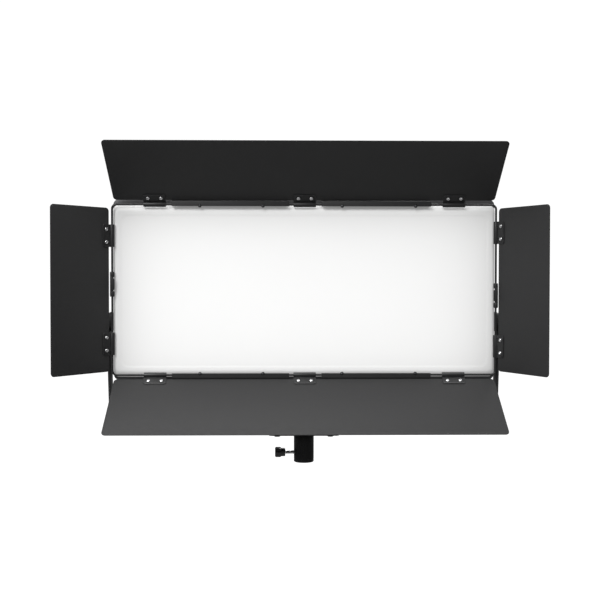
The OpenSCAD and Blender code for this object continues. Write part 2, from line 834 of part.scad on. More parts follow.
// Three-pole appliance inlet: flange, body and a recess with clipped corners.
module power_inlet() {
    color([0.04, 0.04, 0.04]) on_back(inlet_x, socket_z) difference() {
        union() {
            slab(0, 2) hull() {
                square([30, 24], center = true);
                for (s = [-1, 1]) translate([s * 20, 0]) circle(5, $fn = corner_fn);
            }
            translate([-14, -20, -10.5]) cube([28, 20.1, 21]);
        }
        slab(-16, 20) polygon([[-12, -8], [12, -8], [12, 4], [8, 8], [-8, 8], [-12, 4]]);
        for (s = [-1, 1]) translate([s * 20, 0, 0]) rod_y(-1, 4, 1.6);
        for (x = [-7, 0, 7]) translate([x - 1.1, -22, inlet_pin_z(x) - 2.2]) cube([2.2, 8, 4.4]);
    }
}

module dmx_sockets() {
    color([0.08, 0.08, 0.085]) for (x = dmx_x) on_back(x, socket_z) difference() {
        union() {
            slab(0, 2) round_rect(26, 31, 3);
            rod_y(-18, 18.1, 11.6);
        }
        rod_y(-13, 20, 9.2);
        for (a = [0 : 4]) rotate([0, a * 60 + 60, 0]) translate([5.2, 0, 0]) rod_y(-16, 6, 1 + bore_gap);
        for (s = [-1, 1]) translate([s * 9.5, 0, s * 12]) rod_y(-1, 4, 1.6);
    }
}

module connector_pins() {
    color([0.8, 0.66, 0.3]) {
        for (x = [-7, 0, 7]) on_back(inlet_x + x, socket_z + inlet_pin_z(x))
            translate([-1, -21, -2]) cube([2, 14, 4]);
        for (x = dmx_x, a = [0 : 4]) on_back(x, socket_z) rotate([0, a * 60 + 60, 0])
            translate([5.2, 0, 0]) rod_y(-15.9, 10, 1);
    }
}

module power_supply() {
    color([0.65, 0.66, 0.67]) translate([-104, box_y + 0.2, panel_z - 40]) {
        cube([90, 27, 62]);
        translate([90, 0, 6]) cube([8, 14, 50]);
    }
}

// LED driver: circuit board with capacitors, inductors and a heat spreader.
module driver_board() {
    y = box_y + 4;
    color([0.05, 0.25, 0.3]) {
        translate([0, y, panel_z - 40]) cube([50, 1.6, 62]);
        translate([76, y, panel_z - 40]) cube([28, 1.6, 62]);
        translate([50 - eps, y, panel_z - 40]) cube([26 + 2 * eps, 1.6, 24]);
    }
    color([0.15, 0.15, 0.2]) {
        for (i = [0 : 2]) translate([12 + i * 14, 0, panel_z + 8]) rod_y(y + 1.6, 18, 5);
        for (i = [0 : 2]) translate([14 + i * 16, y + 1.6, panel_z - 34]) cube([12, 9, 12]);
        translate([80, y + 1.6, panel_z - 30]) cube([20, 14, 44]);
    }
}

// Cable from the driver, through the heat sink's hole, to the LED board.
module led_cable() {
    r = 2;
    bend_y = box_y + 10;
    color([0.7, 0.1, 0.08]) translate([cable_x, 0, panel_z]) {
        rod_y(back_y, bend_y - back_y, r);
        translate([0, bend_y, 0]) sphere(r);
        translate([0, bend_y, 0]) rod_x(0, 18, r);
    }
}

// ---------- nodes ----------

yoke();
yoke_base_plate();
receiver();
receiver_bolts();
receiver_lock_pad();
receiver_lock_stem();
receiver_lock_knob();
clamp_washer(-1);  // clamp_washer_left
clamp_washer(1);  // clamp_washer_right
tilt_bolt(-1);  // tilt_bolt_left
tilt_bolt(1);  // tilt_bolt_right
tilt_knob(-1);  // tilt_knob_left
tilt_knob(1);  // tilt_knob_right
housing_shell();
front_frame();
diffuser();
reflector_frame();
led_board();
led_emitters();
heat_sink();
pivot_bosses();
friction_washers();
barndoor_wire();
accessory_rails();
rail_rivets();
catch_keepers();
control_box();
control_fascia();
power_supply();
driver_board();
control_board();
display_module();
display_window();
encoder_bodies();
rocker_bezel();
power_inlet();
dmx_sockets();
connector_pins();
led_cable();
housing_screws();
long_leaf(0, top_open);  // top_leaf
long_clips(0, top_open);  // top_hinge_clips
long_screws(0, top_open);  // top_hinge_screws
long_leaf(2, bottom_open);  // bottom_leaf
long_clips(2, bottom_open);  // bottom_hinge_clips
long_screws(2, bottom_open);  // bottom_hinge_screws
short_leaf(1, left_open, left_clips_z);  // left_leaf
short_clips(1, left_open, left_clips_z);  // left_hinge_clips
short_screws(1, left_open, left_clips_z);  // left_hinge_screws
short_leaf(3, right_open, right_clips_z);  // right_leaf
short_clips(3, right_open, right_clips_z);  // right_hinge_clips
short_screws(3, right_open, right_clips_z);  // right_hinge_screws
catch_left();
catch_right();
control_knob(knob_x[0]);  // dimmer_knob
control_knob(knob_x[1]);  // colour_knob
push_button(button_x[0]);  // mode_button
push_button(button_x[1]);  // menu_button
power_rocker();
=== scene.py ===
import json
import math

import bmesh
import bpy
from mathutils import Matrix, Vector


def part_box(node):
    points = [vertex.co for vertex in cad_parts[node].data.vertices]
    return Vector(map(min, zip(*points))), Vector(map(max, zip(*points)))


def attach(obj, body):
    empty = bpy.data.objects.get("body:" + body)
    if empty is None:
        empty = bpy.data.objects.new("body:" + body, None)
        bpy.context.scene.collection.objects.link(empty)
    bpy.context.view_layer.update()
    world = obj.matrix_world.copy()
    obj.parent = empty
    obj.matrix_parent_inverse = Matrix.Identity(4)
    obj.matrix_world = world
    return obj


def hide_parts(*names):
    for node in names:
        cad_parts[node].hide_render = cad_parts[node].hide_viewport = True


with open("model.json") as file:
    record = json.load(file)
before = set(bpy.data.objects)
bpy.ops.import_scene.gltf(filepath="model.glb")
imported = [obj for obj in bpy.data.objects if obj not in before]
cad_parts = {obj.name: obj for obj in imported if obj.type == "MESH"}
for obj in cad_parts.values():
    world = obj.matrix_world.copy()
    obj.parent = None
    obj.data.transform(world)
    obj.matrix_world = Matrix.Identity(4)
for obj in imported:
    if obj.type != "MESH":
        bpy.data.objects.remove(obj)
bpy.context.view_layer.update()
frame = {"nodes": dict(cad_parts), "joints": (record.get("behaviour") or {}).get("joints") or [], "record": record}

scene = bpy.context.scene
JOINTS = {joint["name"]: joint for joint in frame["joints"]}
HEAD = "lamp_head"

# ---------- sizes, in metres ----------

MM = 0.001
TURN = 2 * math.pi
# Points this near each other are joined, or count as the same.
WELD = 1e-7
SAME = 1e-9
# A cutter's edges are hardly rounded, so that its cut is sharp.
CRISP = 0.01 * MM

SHEET = 1.2 * MM
WIRE_R = 1.75 * MM
BARREL_R = 4 * MM
CLIP_BORE = WIRE_R + 0.12 * MM
CLIP_LENGTH = 36 * MM
CLIP_REACH = 18.5 * MM
SCREW_REACH = 12.2 * MM
SCREW_GAP = 20.6 * MM
LONG_CLIPS = (-240 * MM, 0, 240 * MM)
LEFT_CLIPS = (-86.5 * MM, 86.5 * MM)
RIGHT_CLIPS = (-92 * MM, 91 * MM)
LEAF_CORNER = 6 * MM
LONG_LEAF = 123.5 * MM
SHORT_LEAF = 116 * MM

# In degrees: the gap where a clip's roll ends, and how far a leaf swings behind the panel's plane.
SEAM_OPEN = 13
BACK_SWING = 10

shell_low, shell_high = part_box("housing_shell")
rim_low, rim_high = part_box("front_frame")
wire_low, wire_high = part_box("barndoor_wire")

PANEL = (shell_low + shell_high) / 2
PANEL_Z = PANEL.z
HOUSING_W = shell_high.x - shell_low.x
HOUSING_H = shell_high.z - shell_low.z
HOUSING_R = 9 * MM
WIRE_Y = (wire_low.y + wire_high.y) / 2
WIRE_W = wire_high.x - wire_low.x - 2 * WIRE_R
WIRE_H = wire_high.z - wire_low.z - 2 * WIRE_R
BACK_Y = shell_high.y
SINK_T = 3 * MM
BOX_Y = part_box("heat_sink")[0].y + SINK_T
BOX_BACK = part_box("control_box")[1].y
PIVOT_Z = JOINTS["tilt"]["pos_m"][2]

# Tray: its centre is below the housing's, and its lip is wider than the frame's opening.
TRAY_W = 610 * MM
TRAY_H = 277 * MM
TRAY_DROP = 2 * MM
TRAY_LIP_W = 615.4 * MM

# Yoke and tilt axis.
ARM_X = 318.5 * MM
YOKE_T = 4 * MM
YOKE_W = 30 * MM
YOKE_Z = 46 * MM
YOKE_BEND = 34 * MM
RECEIVER_R = 16.5 * MM
RECEIVER_L = 44.5 * MM
STUD_R = 8.1 * MM
LOCK_Z = JOINTS["lock_screw_turn"]["pos_m"][2]
HUB_X = ARM_X + YOKE_T + 1.6 * MM

# Controls on the back.
BOX_W = 228 * MM
BOX_H = 236 * MM
STANDOFF_X = BOX_W / 2 - 12 * MM
STANDOFF_Z = BOX_H / 2 - 12 * MM
FASCIA_T = 1.5 * MM
FASCIA_Z = PANEL_Z + 52 * MM
KNOB_X = (22 * MM, 66 * MM)
KNOB_Z = FASCIA_Z + 8 * MM
BUTTON_Z = FASCIA_Z - 24 * MM
DISPLAY_X = -45 * MM
DISPLAY_W = 76 * MM
DISPLAY_H = 40 * MM
SOCKET_Z = PANEL_Z - 62 * MM
INLET_X = -72 * MM
ROCKER_X = -24 * MM
DATA_X = (24 * MM, 66 * MM)


# ---------- outlines ----------

def arc(cx, cy, r, start, end, steps):
    """Points on an arc, in degrees, anticlockwise when end is larger."""
    angles = [math.radians(start + (end - start) * k / steps) for k in range(steps + 1)]
    return [Vector((cx + r * math.cos(a), cy + r * math.sin(a))) for a in angles]


def disc(r, count=36):
    """Outline of a circle, from its radius in millimetres."""
    return arc(0, 0, r * MM, 0, 360 - 360 / count, count - 1)


def round_rect(w, h, r, steps=6):
    """Anticlockwise outline of a rectangle with round corners, centred."""
    points = []
    for quarter, (sx, sy) in enumerate(((1, 1), (-1, 1), (-1, -1), (1, -1))):
        cx = sx * (w / 2 - r)
        cy = sy * (h / 2 - r)
        points += arc(cx, cy, r, 90 * quarter, 90 * quarter + 90, steps)
    return points


def rounded(points, r, steps=4, closed=True):
    """The outline with each corner cut by a curve that starts r away from it."""
    out = []
    count = len(points)
    for i, point in enumerate(points):
        p = Vector(point)
        if not closed and i in (0, count - 1):
            out.append(p)
            continue
        back = Vector(points[i - 1]) - p
        ahead = Vector(points[(i + 1) % count]) - p
        start = p + back.normalized() * min(r, back.length * 0.48)
        end = p + ahead.normalized() * min(r, ahead.length * 0.48)
        for k in range(steps + 1):
            t = k / steps
            out.append(start * (1 - t) ** 2 + p * 2 * t * (1 - t) + end * t ** 2)
    return out


def mm(*points):
    """Pairs given in millimetres."""
    return [(a * MM, b * MM) for a, b in points]


def from_base(base, *points):
    """Pairs in millimetres, with the second measured from base."""
    return mm(*[(r, base + z) for r, z in points])


def inset(points, d, closed=True):
    """The outline moved to its left by d, which is inwards when it runs anticlockwise."""
    points = [Vector(p) for p in points]
    out = []
    count = len(points)
    for i, p in enumerate(points):
        before = points[i - 1] if closed or i else p
        after = points[(i + 1) % count] if closed or i < count - 1 else p
        normal = Vector((0, 0))
        normals = []
        for a, b in ((before, p), (p, after)):
            if (b - a).length > SAME:
                t = (b - a).normalized()
                normals.append(Vector((-t.y, t.x)))
                normal += normals[-1]
        normal.normalize()
        out.append(p + normal * (d / max(0.5, normal.dot(normals[0]))))
    return out


def strip(path, thickness):
    """Closed outline of a bent sheet whose centre line is the open path."""
    left = inset(path, thickness / 2, closed=False)
    right = inset(path, -thickness / 2, closed=False)
    return right + left[::-1]


# ---------- solids ----------

def skin(bm, rings, wrap=False):
    """Joins rings of points into a closed solid. With wrap, the last ring joins the first."""
    rows = [[bm.verts.new(p) for p in ring] for ring in rings]
    pairs = list(zip(rows, rows[1:]))
    if wrap:
        pairs.append((rows[-1], rows[0]))
    for low, high in pairs:
        count = len(low)
        for i in range(count):
            j = (i + 1) % count
            bm.faces.new((low[i], low[j], high[j], high[i]))
    if not wrap:
        bm.faces.new(rows[0][::-1])
        bm.faces.new(rows[-1])


def tub(bm, outside, inside):
    """Closed solid with one open side. The outside rings run from the lip to the closed end and
    the inside rings run back to the lip."""
    rows = [[bm.verts.new(p) for p in ring] for ring in outside + inside]
    turn = len(outside) - 1
    for k, low in enumerate(rows):
        if k == turn:
            continue
        high = rows[(k + 1) % len(rows)]
        for i in range(len(low)):
            j = (i + 1) % len(low)
            bm.faces.new((low[i], low[j], high[j], high[i]))
    bm.faces.new(rows[turn])
    bm.faces.new(rows[turn + 1])


def slab(bm, outline, low, high, edge=0.3 * MM, place=Matrix(), steps=3):
    """Outline in X and Y, drawn from z low to z high with rounded edges, then placed."""
    rings = []
    for base, way in ((low, 1), (high, -1)):
        turns = range(steps + 1) if way > 0 else range(steps, -1, -1)
        for k in turns:
            a = math.pi / 2 * k / steps
            shrunk = inset(outline, edge * (1 - math.sin(a)))
            z = base + way * edge * (1 - math.cos(a))
            rings.append([place @ Vector((p.x, p.y, z)) for p in shrunk])
    skin(bm, rings)


def lathe(bm, profile, place=Matrix(), count=48, wrap=False, lobes=0, depth=0.0, grip=None):
    """Turns (radius, height) points round +Z. Lobes ripple the radius by the share grip(height)."""
    rings = []
    for r, z in profile:
        ring = []
        for i in range(count):
            a = TURN * i / count
            share = grip(z) if grip else 0
            swell = depth * share * math.cos(lobes * a)
            ring.append(place @ Vector(((r + swell) * math.cos(a), (r + swell) * math.sin(a), z)))
        rings.append(ring)
    skin(bm, rings, wrap)


def solid(draw, *shape, **options):
    """A bmesh that holds the one solid that the function draw makes."""
    bm = bmesh.new()
    draw(bm, *shape, **options)
    return bm


def box(bm, low, high, edge=0.3 * MM, place=Matrix()):
    """A block between two corners, with rounded edges."""
    w = high[0] - low[0]
    h = high[1] - low[1]
    middle = move((low[0] + high[0]) / 2, (low[1] + high[1]) / 2, 0)
    slab(bm, round_rect(w, h, edge, 3), low[2], high[2], edge, place @ middle)


def turned(axis):
    """Matrix that turns +Z to the axis."""
    return Vector(axis).to_track_quat("Z", "Y").to_matrix().to_4x4()


def move(x, y, z):
    """Matrix that moves a drawing to a spot."""
    return Matrix.Translation((x, y, z))


def at(x, y, z, axis=(0, 0, 1)):
    """Matrix that moves a drawing to a spot and turns its +Z to the axis."""
    return move(x, y, z) @ turned(axis)


# Stands an outline drawn in X and Z upright: the slab's +Z becomes +Y, towards the back.
UPRIGHT = Matrix(((1, 0, 0, 0), (0, 0, 1, 0), (0, 1, 0, 0), (0, 0, 0, 1)))

# Lays an outline drawn in Y and Z along X.
ALONG = Matrix(((0, 0, 1, 0), (1, 0, 0, 0), (0, 1, 0, 0), (0, 0, 0, 1)))


def ring_y(outline, y, z=None):
    """The outline, upright at depth y and centred on the panel or on height z."""
    middle = PANEL_Z if z is None else z
    return [Vector((p.x, y, middle + p.y)) for p in outline]


def housing_ring(cut, r, y):
    """The housing's outline at depth y, smaller by cut on every side."""
    return ring_y(round_rect(HOUSING_W - 2 * cut, HOUSING_H - 2 * cut, r), y)


def temporary(bm):
    """An object in millimetres, because booleans go wrong on tiny numbers."""
    mesh = bpy.data.meshes.new("temporary")
    bmesh.ops.remove_doubles(bm, verts=bm.verts, dist=WELD)
    bmesh.ops.scale(bm, vec=(1 / MM,) * 3, verts=bm.verts)
    bmesh.ops.recalc_face_normals(bm, faces=bm.faces)
    bm.to_mesh(mesh)
    bm.free()
    obj = bpy.data.objects.new("temporary", mesh)
    scene.collection.objects.link(obj)
    return obj


def carve(bm, tool):
    """The solid in bm with the solids in tool cut away. Neither may overlap itself."""
    body = temporary(bm)
    cutter = temporary(tool)
    step = body.modifiers.new("carve", "BOOLEAN")
    step.object = cutter
    step.operation = "DIFFERENCE"
    step.solver = "EXACT"
    graph = bpy.context.evaluated_depsgraph_get()
    result = bmesh.new()
    result.from_mesh(body.evaluated_get(graph).to_mesh())
    bmesh.ops.scale(result, vec=(MM,) * 3, verts=result.verts)
    for obj in (body, cutter):
        mesh = obj.data
        bpy.data.objects.remove(obj)
        bpy.data.meshes.remove(mesh)
    return result


def add(bm, other):
    """Puts the other solids into bm too."""
    mesh = bpy.data.meshes.new("other")
    other.to_mesh(mesh)
    other.free()
    bm.from_mesh(mesh)
    bpy.data.meshes.remove(mesh)


def copies(template, places):
    """One bmesh that holds the template once at each place."""
    out = bmesh.new()
    mesh = bpy.data.meshes.new("template")
    template.to_mesh(mesh)
    for place in places:
        before = len(out.verts)
        out.from_mesh(mesh)
        out.verts.ensure_lookup_table()
        bmesh.ops.transform(out, matrix=place, verts=out.verts[before:])
    bpy.data.meshes.remove(mesh)
    template.free()
    return out


def piece(name, bm, body, slot, *nodes, crease=38, look=None):
    """Makes the object, smooths it, gives it its material and lets it ride on its body."""
    mesh = bpy.data.meshes.new(name)
    bmesh.ops.remove_doubles(bm, verts=bm.verts, dist=WELD)
    bmesh.ops.recalc_face_normals(bm, faces=bm.faces)
    bm.to_mesh(mesh)
    bm.free()
    mesh.shade_smooth()
    mesh.set_sharp_from_angle(angle=math.radians(crease))
    obj = bpy.data.objects.new(name, mesh)
    scene.collection.objects.link(obj)
    mesh.materials.append(MATERIALS[look or slot])
    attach(obj, body)
    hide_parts(*nodes)


# ---------- materials ----------

class Nodes:
    """Short calls for building one material's node tree."""

    def __init__(self, name):
        self.material = bpy.data.materials.new(name)
        self.material.use_nodes = True
        self.tree = self.material.node_tree
        self.shader = self.tree.nodes["Principled BSDF"]

    def put(self, name, value):
        self.shader.inputs[name].default_value = value

    def add(self, kind, **settings):
        node = self.tree.nodes.new(kind)
        for key, value in settings.items():
            setattr(node, key, value)
        return node

    def link(self, source, target):
        self.tree.links.new(source, target)

    def noise(self, coordinates, scale, detail=2.0, roughness=0.5):
        node = self.add("ShaderNodeTexNoise")
        node.inputs["Scale"].default_value = scale
        node.inputs["Detail"].default_value = detail
        node.inputs["Roughness"].default_value = roughness
        self.link(coordinates, node.inputs["Vector"])
        return node.outputs["Fac"]

    def spread(self, value, low, high, out_low, out_high):
        node = self.add("ShaderNodeMapRange")
        self.link(value, node.inputs["Value"])
        limits = {"From Min": low, "From Max": high, "To Min": out_low, "To Max": out_high}
        for key, number in limits.items():
            node.inputs[key].default_value = number
        return node.outputs["Result"]

    def math(self, operation, a, b):
        node = self.add("ShaderNodeMath", operation=operation)
        for socket, value in zip(node.inputs, (a, b)):
            if isinstance(value, (int, float)):
                socket.default_value = value
            else:
                self.link(value, socket)
        return node.outputs[0]

    def mix(self, share, a, b):
        node = self.add("ShaderNodeMix", data_type="RGBA")
        self.link(share, node.inputs[0])
        for socket, value in zip((node.inputs[6], node.inputs[7]), (a, b)):
            if isinstance(value, tuple):
                socket.default_value = (*value, 1)
            else:
                self.link(value, socket)
        return node.outputs[2]


def shade(colour, factor):
    return tuple(min(1.0, c * factor) for c in colour)


# Noise seldom leaves this span.
NOISE_LOW = 0.3
NOISE_HIGH = 0.7


def finish(slot, colour, rough, metal=0.0, grain=1500, depth=0.05, mottle=40, blotch=0.12,
           stretch=(1, 1, 1), wear=0.35, worn=(0.22, 0.22, 0.225), coat=0.0, specular=0.5,
           edge=0.5):
    """A surface with grain in its relief, blotches in its colour and gloss, and paler rubbed edges.
    Grain and mottle are per metre, depth and edge are in millimetres."""
    m = Nodes(slot)
    place = m.add("ShaderNodeTexCoord").outputs["Object"]
    scaled = m.add("ShaderNodeMapping")
    scaled.inputs["Scale"].default_value = stretch
    m.link(place, scaled.inputs["Vector"])
    fine = m.noise(scaled.outputs["Vector"], grain, 3.0, 0.6)
    broad = m.noise(place, mottle, 4.0, 0.55)
    toned = m.mix(broad, shade(colour, 1 - blotch), shade(colour, 1 + blotch))
    speck = m.spread(fine, NOISE_LOW, NOISE_HIGH, 0, 1)
    grained = m.mix(speck, shade(colour, 1 - blotch * 1.4), toned)
    gloss = m.spread(broad, 0.25, 0.75, rough - 0.07, rough + 0.07)
    gloss = m.math("ADD", gloss, m.spread(fine, NOISE_LOW, NOISE_HIGH, -0.04, 0.04))
    if wear:
        round_edge = m.add("ShaderNodeBevel", samples=4)
        round_edge.inputs["Radius"].default_value = edge * MM
        flat = m.add("ShaderNodeNewGeometry").outputs["Normal"]
        facing = m.add("ShaderNodeVectorMath", operation="DOT_PRODUCT")
        m.link(round_edge.outputs[0], facing.inputs[0])
        m.link(flat, facing.inputs[1])
        edges = m.spread(facing.outputs["Value"], 0.995, 0.9, 0, 1)
        scuffs = m.spread(m.noise(place, 260, 4.0, 0.7), 0.42, 0.62, 0, wear)
        rubbed = m.math("MULTIPLY", edges, scuffs)
        grained = m.mix(rubbed, grained, worn)
        gloss = m.math("SUBTRACT", gloss, m.math("MULTIPLY", rubbed, 0.15))
    m.link(grained, m.shader.inputs["Base Color"])
    m.link(gloss, m.shader.inputs["Roughness"])
    relief = m.add("ShaderNodeBump")
    relief.inputs["Strength"].default_value = 1.0
    relief.inputs["Distance"].default_value = depth * MM
    m.link(fine, relief.inputs["Height"])
    m.link(relief.outputs["Normal"], m.shader.inputs["Normal"])
    m.put("Metallic", metal)
    m.put("Coat Weight", coat)
    m.put("Specular IOR Level", specular)
    return m


BLACK = (0.012, 0.012, 0.0125)
BRIGHT = (0.75, 0.75, 0.76)
SILVER_WORN = (0.8, 0.8, 0.81)
FINISHES = {
    "black_steel": dict(colour=(0.03, 0.03, 0.031), rough=0.5, grain=1600, depth=0.05),
    "black_cast": dict(colour=(0.005, 0.005, 0.0055), rough=0.3, grain=900, depth=0.015,
                       specular=0.28),
    "plated_steel": dict(colour=BRIGHT, rough=0.27, metal=1.0, grain=700, depth=0.01,
                         stretch=(1, 4, 1), wear=0.25, worn=SILVER_WORN),
    "dark_steel": dict(colour=(0.09, 0.09, 0.095), rough=0.38, metal=1.0, grain=900, depth=0.01),
    "brass": dict(colour=(0.72, 0.56, 0.26), rough=0.3, metal=1.0, grain=900, depth=0.01, wear=0.0),
    "gold_contact": dict(colour=(0.85, 0.66, 0.3), rough=0.22, metal=1.0, grain=900, depth=0.005,
                         wear=0.0),
    "knob_plastic": dict(colour=(0.018, 0.018, 0.019), rough=0.42, grain=1300, depth=0.03,
                         wear=0.2, worn=(0.09, 0.09, 0.09)),
    "housing_paint": dict(colour=(0.034, 0.034, 0.036), rough=0.52, grain=1300, depth=0.07),
    # Rails: a darker copy of the housing paint, which paints the shade that falls on them.
    "rail_black_painted_shade": dict(colour=BLACK, rough=0.55, grain=1300, depth=0.05, specular=0.35),
    "black_aluminium": dict(colour=(0.028, 0.028, 0.031), rough=0.36, metal=0.35, grain=500,
                            depth=0.02, stretch=(6, 6, 0.4)),
    "white_reflector": dict(colour=(0.9, 0.9, 0.89), rough=0.6, depth=0.02, blotch=0.03, wear=0.0),
    "board_white": dict(colour=(0.86, 0.88, 0.86), rough=0.45, depth=0.02, blotch=0.04, wear=0.0),
    "phosphor": dict(colour=(0.95, 0.8, 0.25), rough=0.4, depth=0.03, blotch=0.06, wear=0.0),
    "friction": dict(colour=(0.035, 0.035, 0.035), rough=0.75, grain=1100, depth=0.08, wear=0.0),
    "wire_black": dict(colour=BLACK, rough=0.34, grain=1200, depth=0.02, wear=0.0, specular=0.35),
    "leaf_black": dict(colour=(0.022, 0.022, 0.0225), rough=0.55, grain=1250, depth=0.08, edge=0.4,
                       mottle=260, blotch=0.2, specular=0.28, worn=(0.14, 0.14, 0.142)),
    "clip_black": dict(colour=BLACK, rough=0.4, grain=1100, depth=0.03, specular=0.36, wear=0.4,
                       worn=(0.2, 0.2, 0.205)),
    "psu_metal": dict(colour=(0.62, 0.63, 0.64), rough=0.4, metal=1.0, grain=600, depth=0.02),
    "board_green": dict(colour=(0.03, 0.2, 0.09), rough=0.4, grain=400, depth=0.05, wear=0.0),
    "screen": dict(colour=(0.008, 0.008, 0.011), rough=0.12, grain=300, depth=0.002, coat=0.6,
                   wear=0.0),
    "display": dict(colour=(0.12, 0.17, 0.2), rough=0.3, grain=600, depth=0.01, wear=0.0),
    "box_plastic": dict(colour=(0.03, 0.03, 0.032), rough=0.5, grain=900, depth=0.08),
    "fascia": dict(colour=(0.075, 0.075, 0.08), rough=0.42, grain=1800, depth=0.03, wear=0.2),
    "button_grey": dict(colour=(0.2, 0.2, 0.205), rough=0.5, grain=1500, depth=0.03, wear=0.1),
    "cable_red": dict(colour=(0.45, 0.03, 0.025), rough=0.45, grain=700, depth=0.02, wear=0.0),
}


# Painted shade on the tray towards its ends and towards its top and bottom, in its colour and in its painted glow:
# the share that is lost at the very edge, and the depth over which the rest comes back.
OPAL_PAINTED_SHADE = (("X", 0, TRAY_LIP_W / 2, 0.33, 38 * MM),
             ("Z", PANEL_Z - TRAY_DROP, TRAY_H / 2, 0.2, 25 * MM))
# Strength of the painted glow that lifts the tray's shadows.
OPAL_PAINTED_GLOW = 0.27


def opal():
    """Satin opal acrylic, with a painted glow that lifts its shadows, and painted shade that darkens its colour
    and its glow near its edges."""
    m = finish("opal", (0.62, 0.62, 0.617), 0.5, grain=700, depth=0.012, mottle=9, blotch=0.012,
               wear=0.0, specular=0.35)
    axes = m.add("ShaderNodeSeparateXYZ")
    m.link(m.add("ShaderNodeTexCoord").outputs["Object"], axes.inputs[0])
    painted_light = None
    # Painted shade that deepens towards each edge of the tray.
    for axis, middle, half, share, fade in OPAL_PAINTED_SHADE:
        offset = m.math("ABSOLUTE", m.math("SUBTRACT", axes.outputs[axis], middle), 0)
        depth = m.math("MAXIMUM", m.math("SUBTRACT", half, offset), 0)
        painted_shade_share = m.math("MULTIPLY", m.math("EXPONENT", m.math("DIVIDE", depth, -fade), 0), share)
        kept = m.math("SUBTRACT", 1, painted_shade_share)
        painted_light = m.math("MULTIPLY", painted_light, kept) if painted_light else kept
    base = m.shader.inputs["Base Color"]
    plain = base.links[0].from_socket
    # Painted shade darkens the colour towards the edges, and the painted glow follows the same share.
    m.link(m.mix(painted_light, (0, 0, 0), plain), base)
    m.put("Emission Color", (1, 1, 0.995, 1))
    m.link(m.math("MULTIPLY", painted_light, OPAL_PAINTED_GLOW), m.shader.inputs["Emission Strength"])
    return m


MATERIALS = {slot: finish(slot, **look).material for slot, look in FINISHES.items()}
MATERIALS["opal"] = opal().material


# ---------- lamp front ----------

def diffuser():
    """Opal tray: sloping sides, a rounded front edge and a shallow dished face, hollow behind."""
    middle = PANEL_Z - TRAY_DROP
    skin_t = 2.5 * MM
    flange_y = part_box("diffuser")[1].y
    # Each step has what it takes off the width and the height, its corner radius and its depth.
    steps = [(0, 0, 8, -36.05), (0, 2, 8, -38.5), (0.6, 5, 8, -40.2), (3, 9.5, 8, -42.4),
             (6.5, 15, 8, -44.3), (9.5, 19, 8, -44.9), (13, 24, 9, -45), (20, 30, 11, -45),
             (24, 32, 12, -44.92), (26.5, 34.5, 12, -44.6), (30, 38, 12, -44.5),
             (90, 110, 14, -44.45)]

    def rings_of(width, height, shrink, back):
        rings = []
        for a, b, r, y in steps:
            w = width - a * MM - shrink
            h = height - b * MM - shrink
            edge = round_rect(w, h, r * MM - shrink / 2)
            rings.append(ring_y(edge, y * MM + back, middle))
        return rings

    def flat(width, height, r, y):
        return ring_y(round_rect(width, height, r * MM), y, middle)

    flange_front = flange_y - 1.8 * MM
    outside = [housing_ring(1.8 * MM, 7.5 * MM, flange_y),
               housing_ring(1.8 * MM, 7.5 * MM, flange_front),
               flat(TRAY_W, TRAY_H, 7.7, flange_front),
               flat(TRAY_W, TRAY_H, 7.7, steps[0][3] * MM)]
    outside += rings_of(TRAY_LIP_W, TRAY_H, 0, 0)
    inside = rings_of(TRAY_LIP_W, TRAY_H, 2 * skin_t, skin_t)[::-1][:-2]
    for y in (steps[1][3] * MM + skin_t, flange_y):
        inside.append(flat(TRAY_W - 2 * skin_t, TRAY_H - 2 * skin_t, 5.5, y))
    bm = solid(tub, outside, inside)
    piece("diffuser_tray", bm, HEAD, "opal", "diffuser", crease=60)


def front_frame():
    """The housing's front rim: a ring with rounded front edges, wider at its top than its foot."""
    y0 = rim_low.y
    y1 = rim_high.y
    e = 0.8 * MM
    gap = 0.6 * MM
    rings = []
    for cut, y in ((e, y0), (0.3 * e, y0 + 0.3 * e), (0, y0 + e), (0, y1)):
        rings.append(housing_ring(cut, HOUSING_R - cut, y))
    for cut, y in ((0, y1), (0, y0 + e / 2), (e / 3, y0)):
        opening = round_rect(TRAY_W + gap + 2 * cut, TRAY_H + gap + 2 * cut, 8 * MM + cut)
        rings.append(ring_y(opening, y, PANEL_Z - TRAY_DROP))
    bm = solid(skin, rings, wrap=True)
    piece("front_rim", bm, HEAD, "housing_paint", "front_frame")


def wire_frame():
    """Round wire bent into a closed frame."""
    path = round_rect(WIRE_W, WIRE_H, 7 * MM, 8)
    rings = []
    count = 16
    for k in range(count):
        a = TURN * k / count
        rings.append(ring_y(inset(path, WIRE_R * math.cos(a)), WIRE_Y + WIRE_R * math.sin(a)))
    bm = solid(skin, rings, wrap=True)
    piece("barndoor_wire_frame", bm, HEAD, "wire_black", "barndoor_wire")


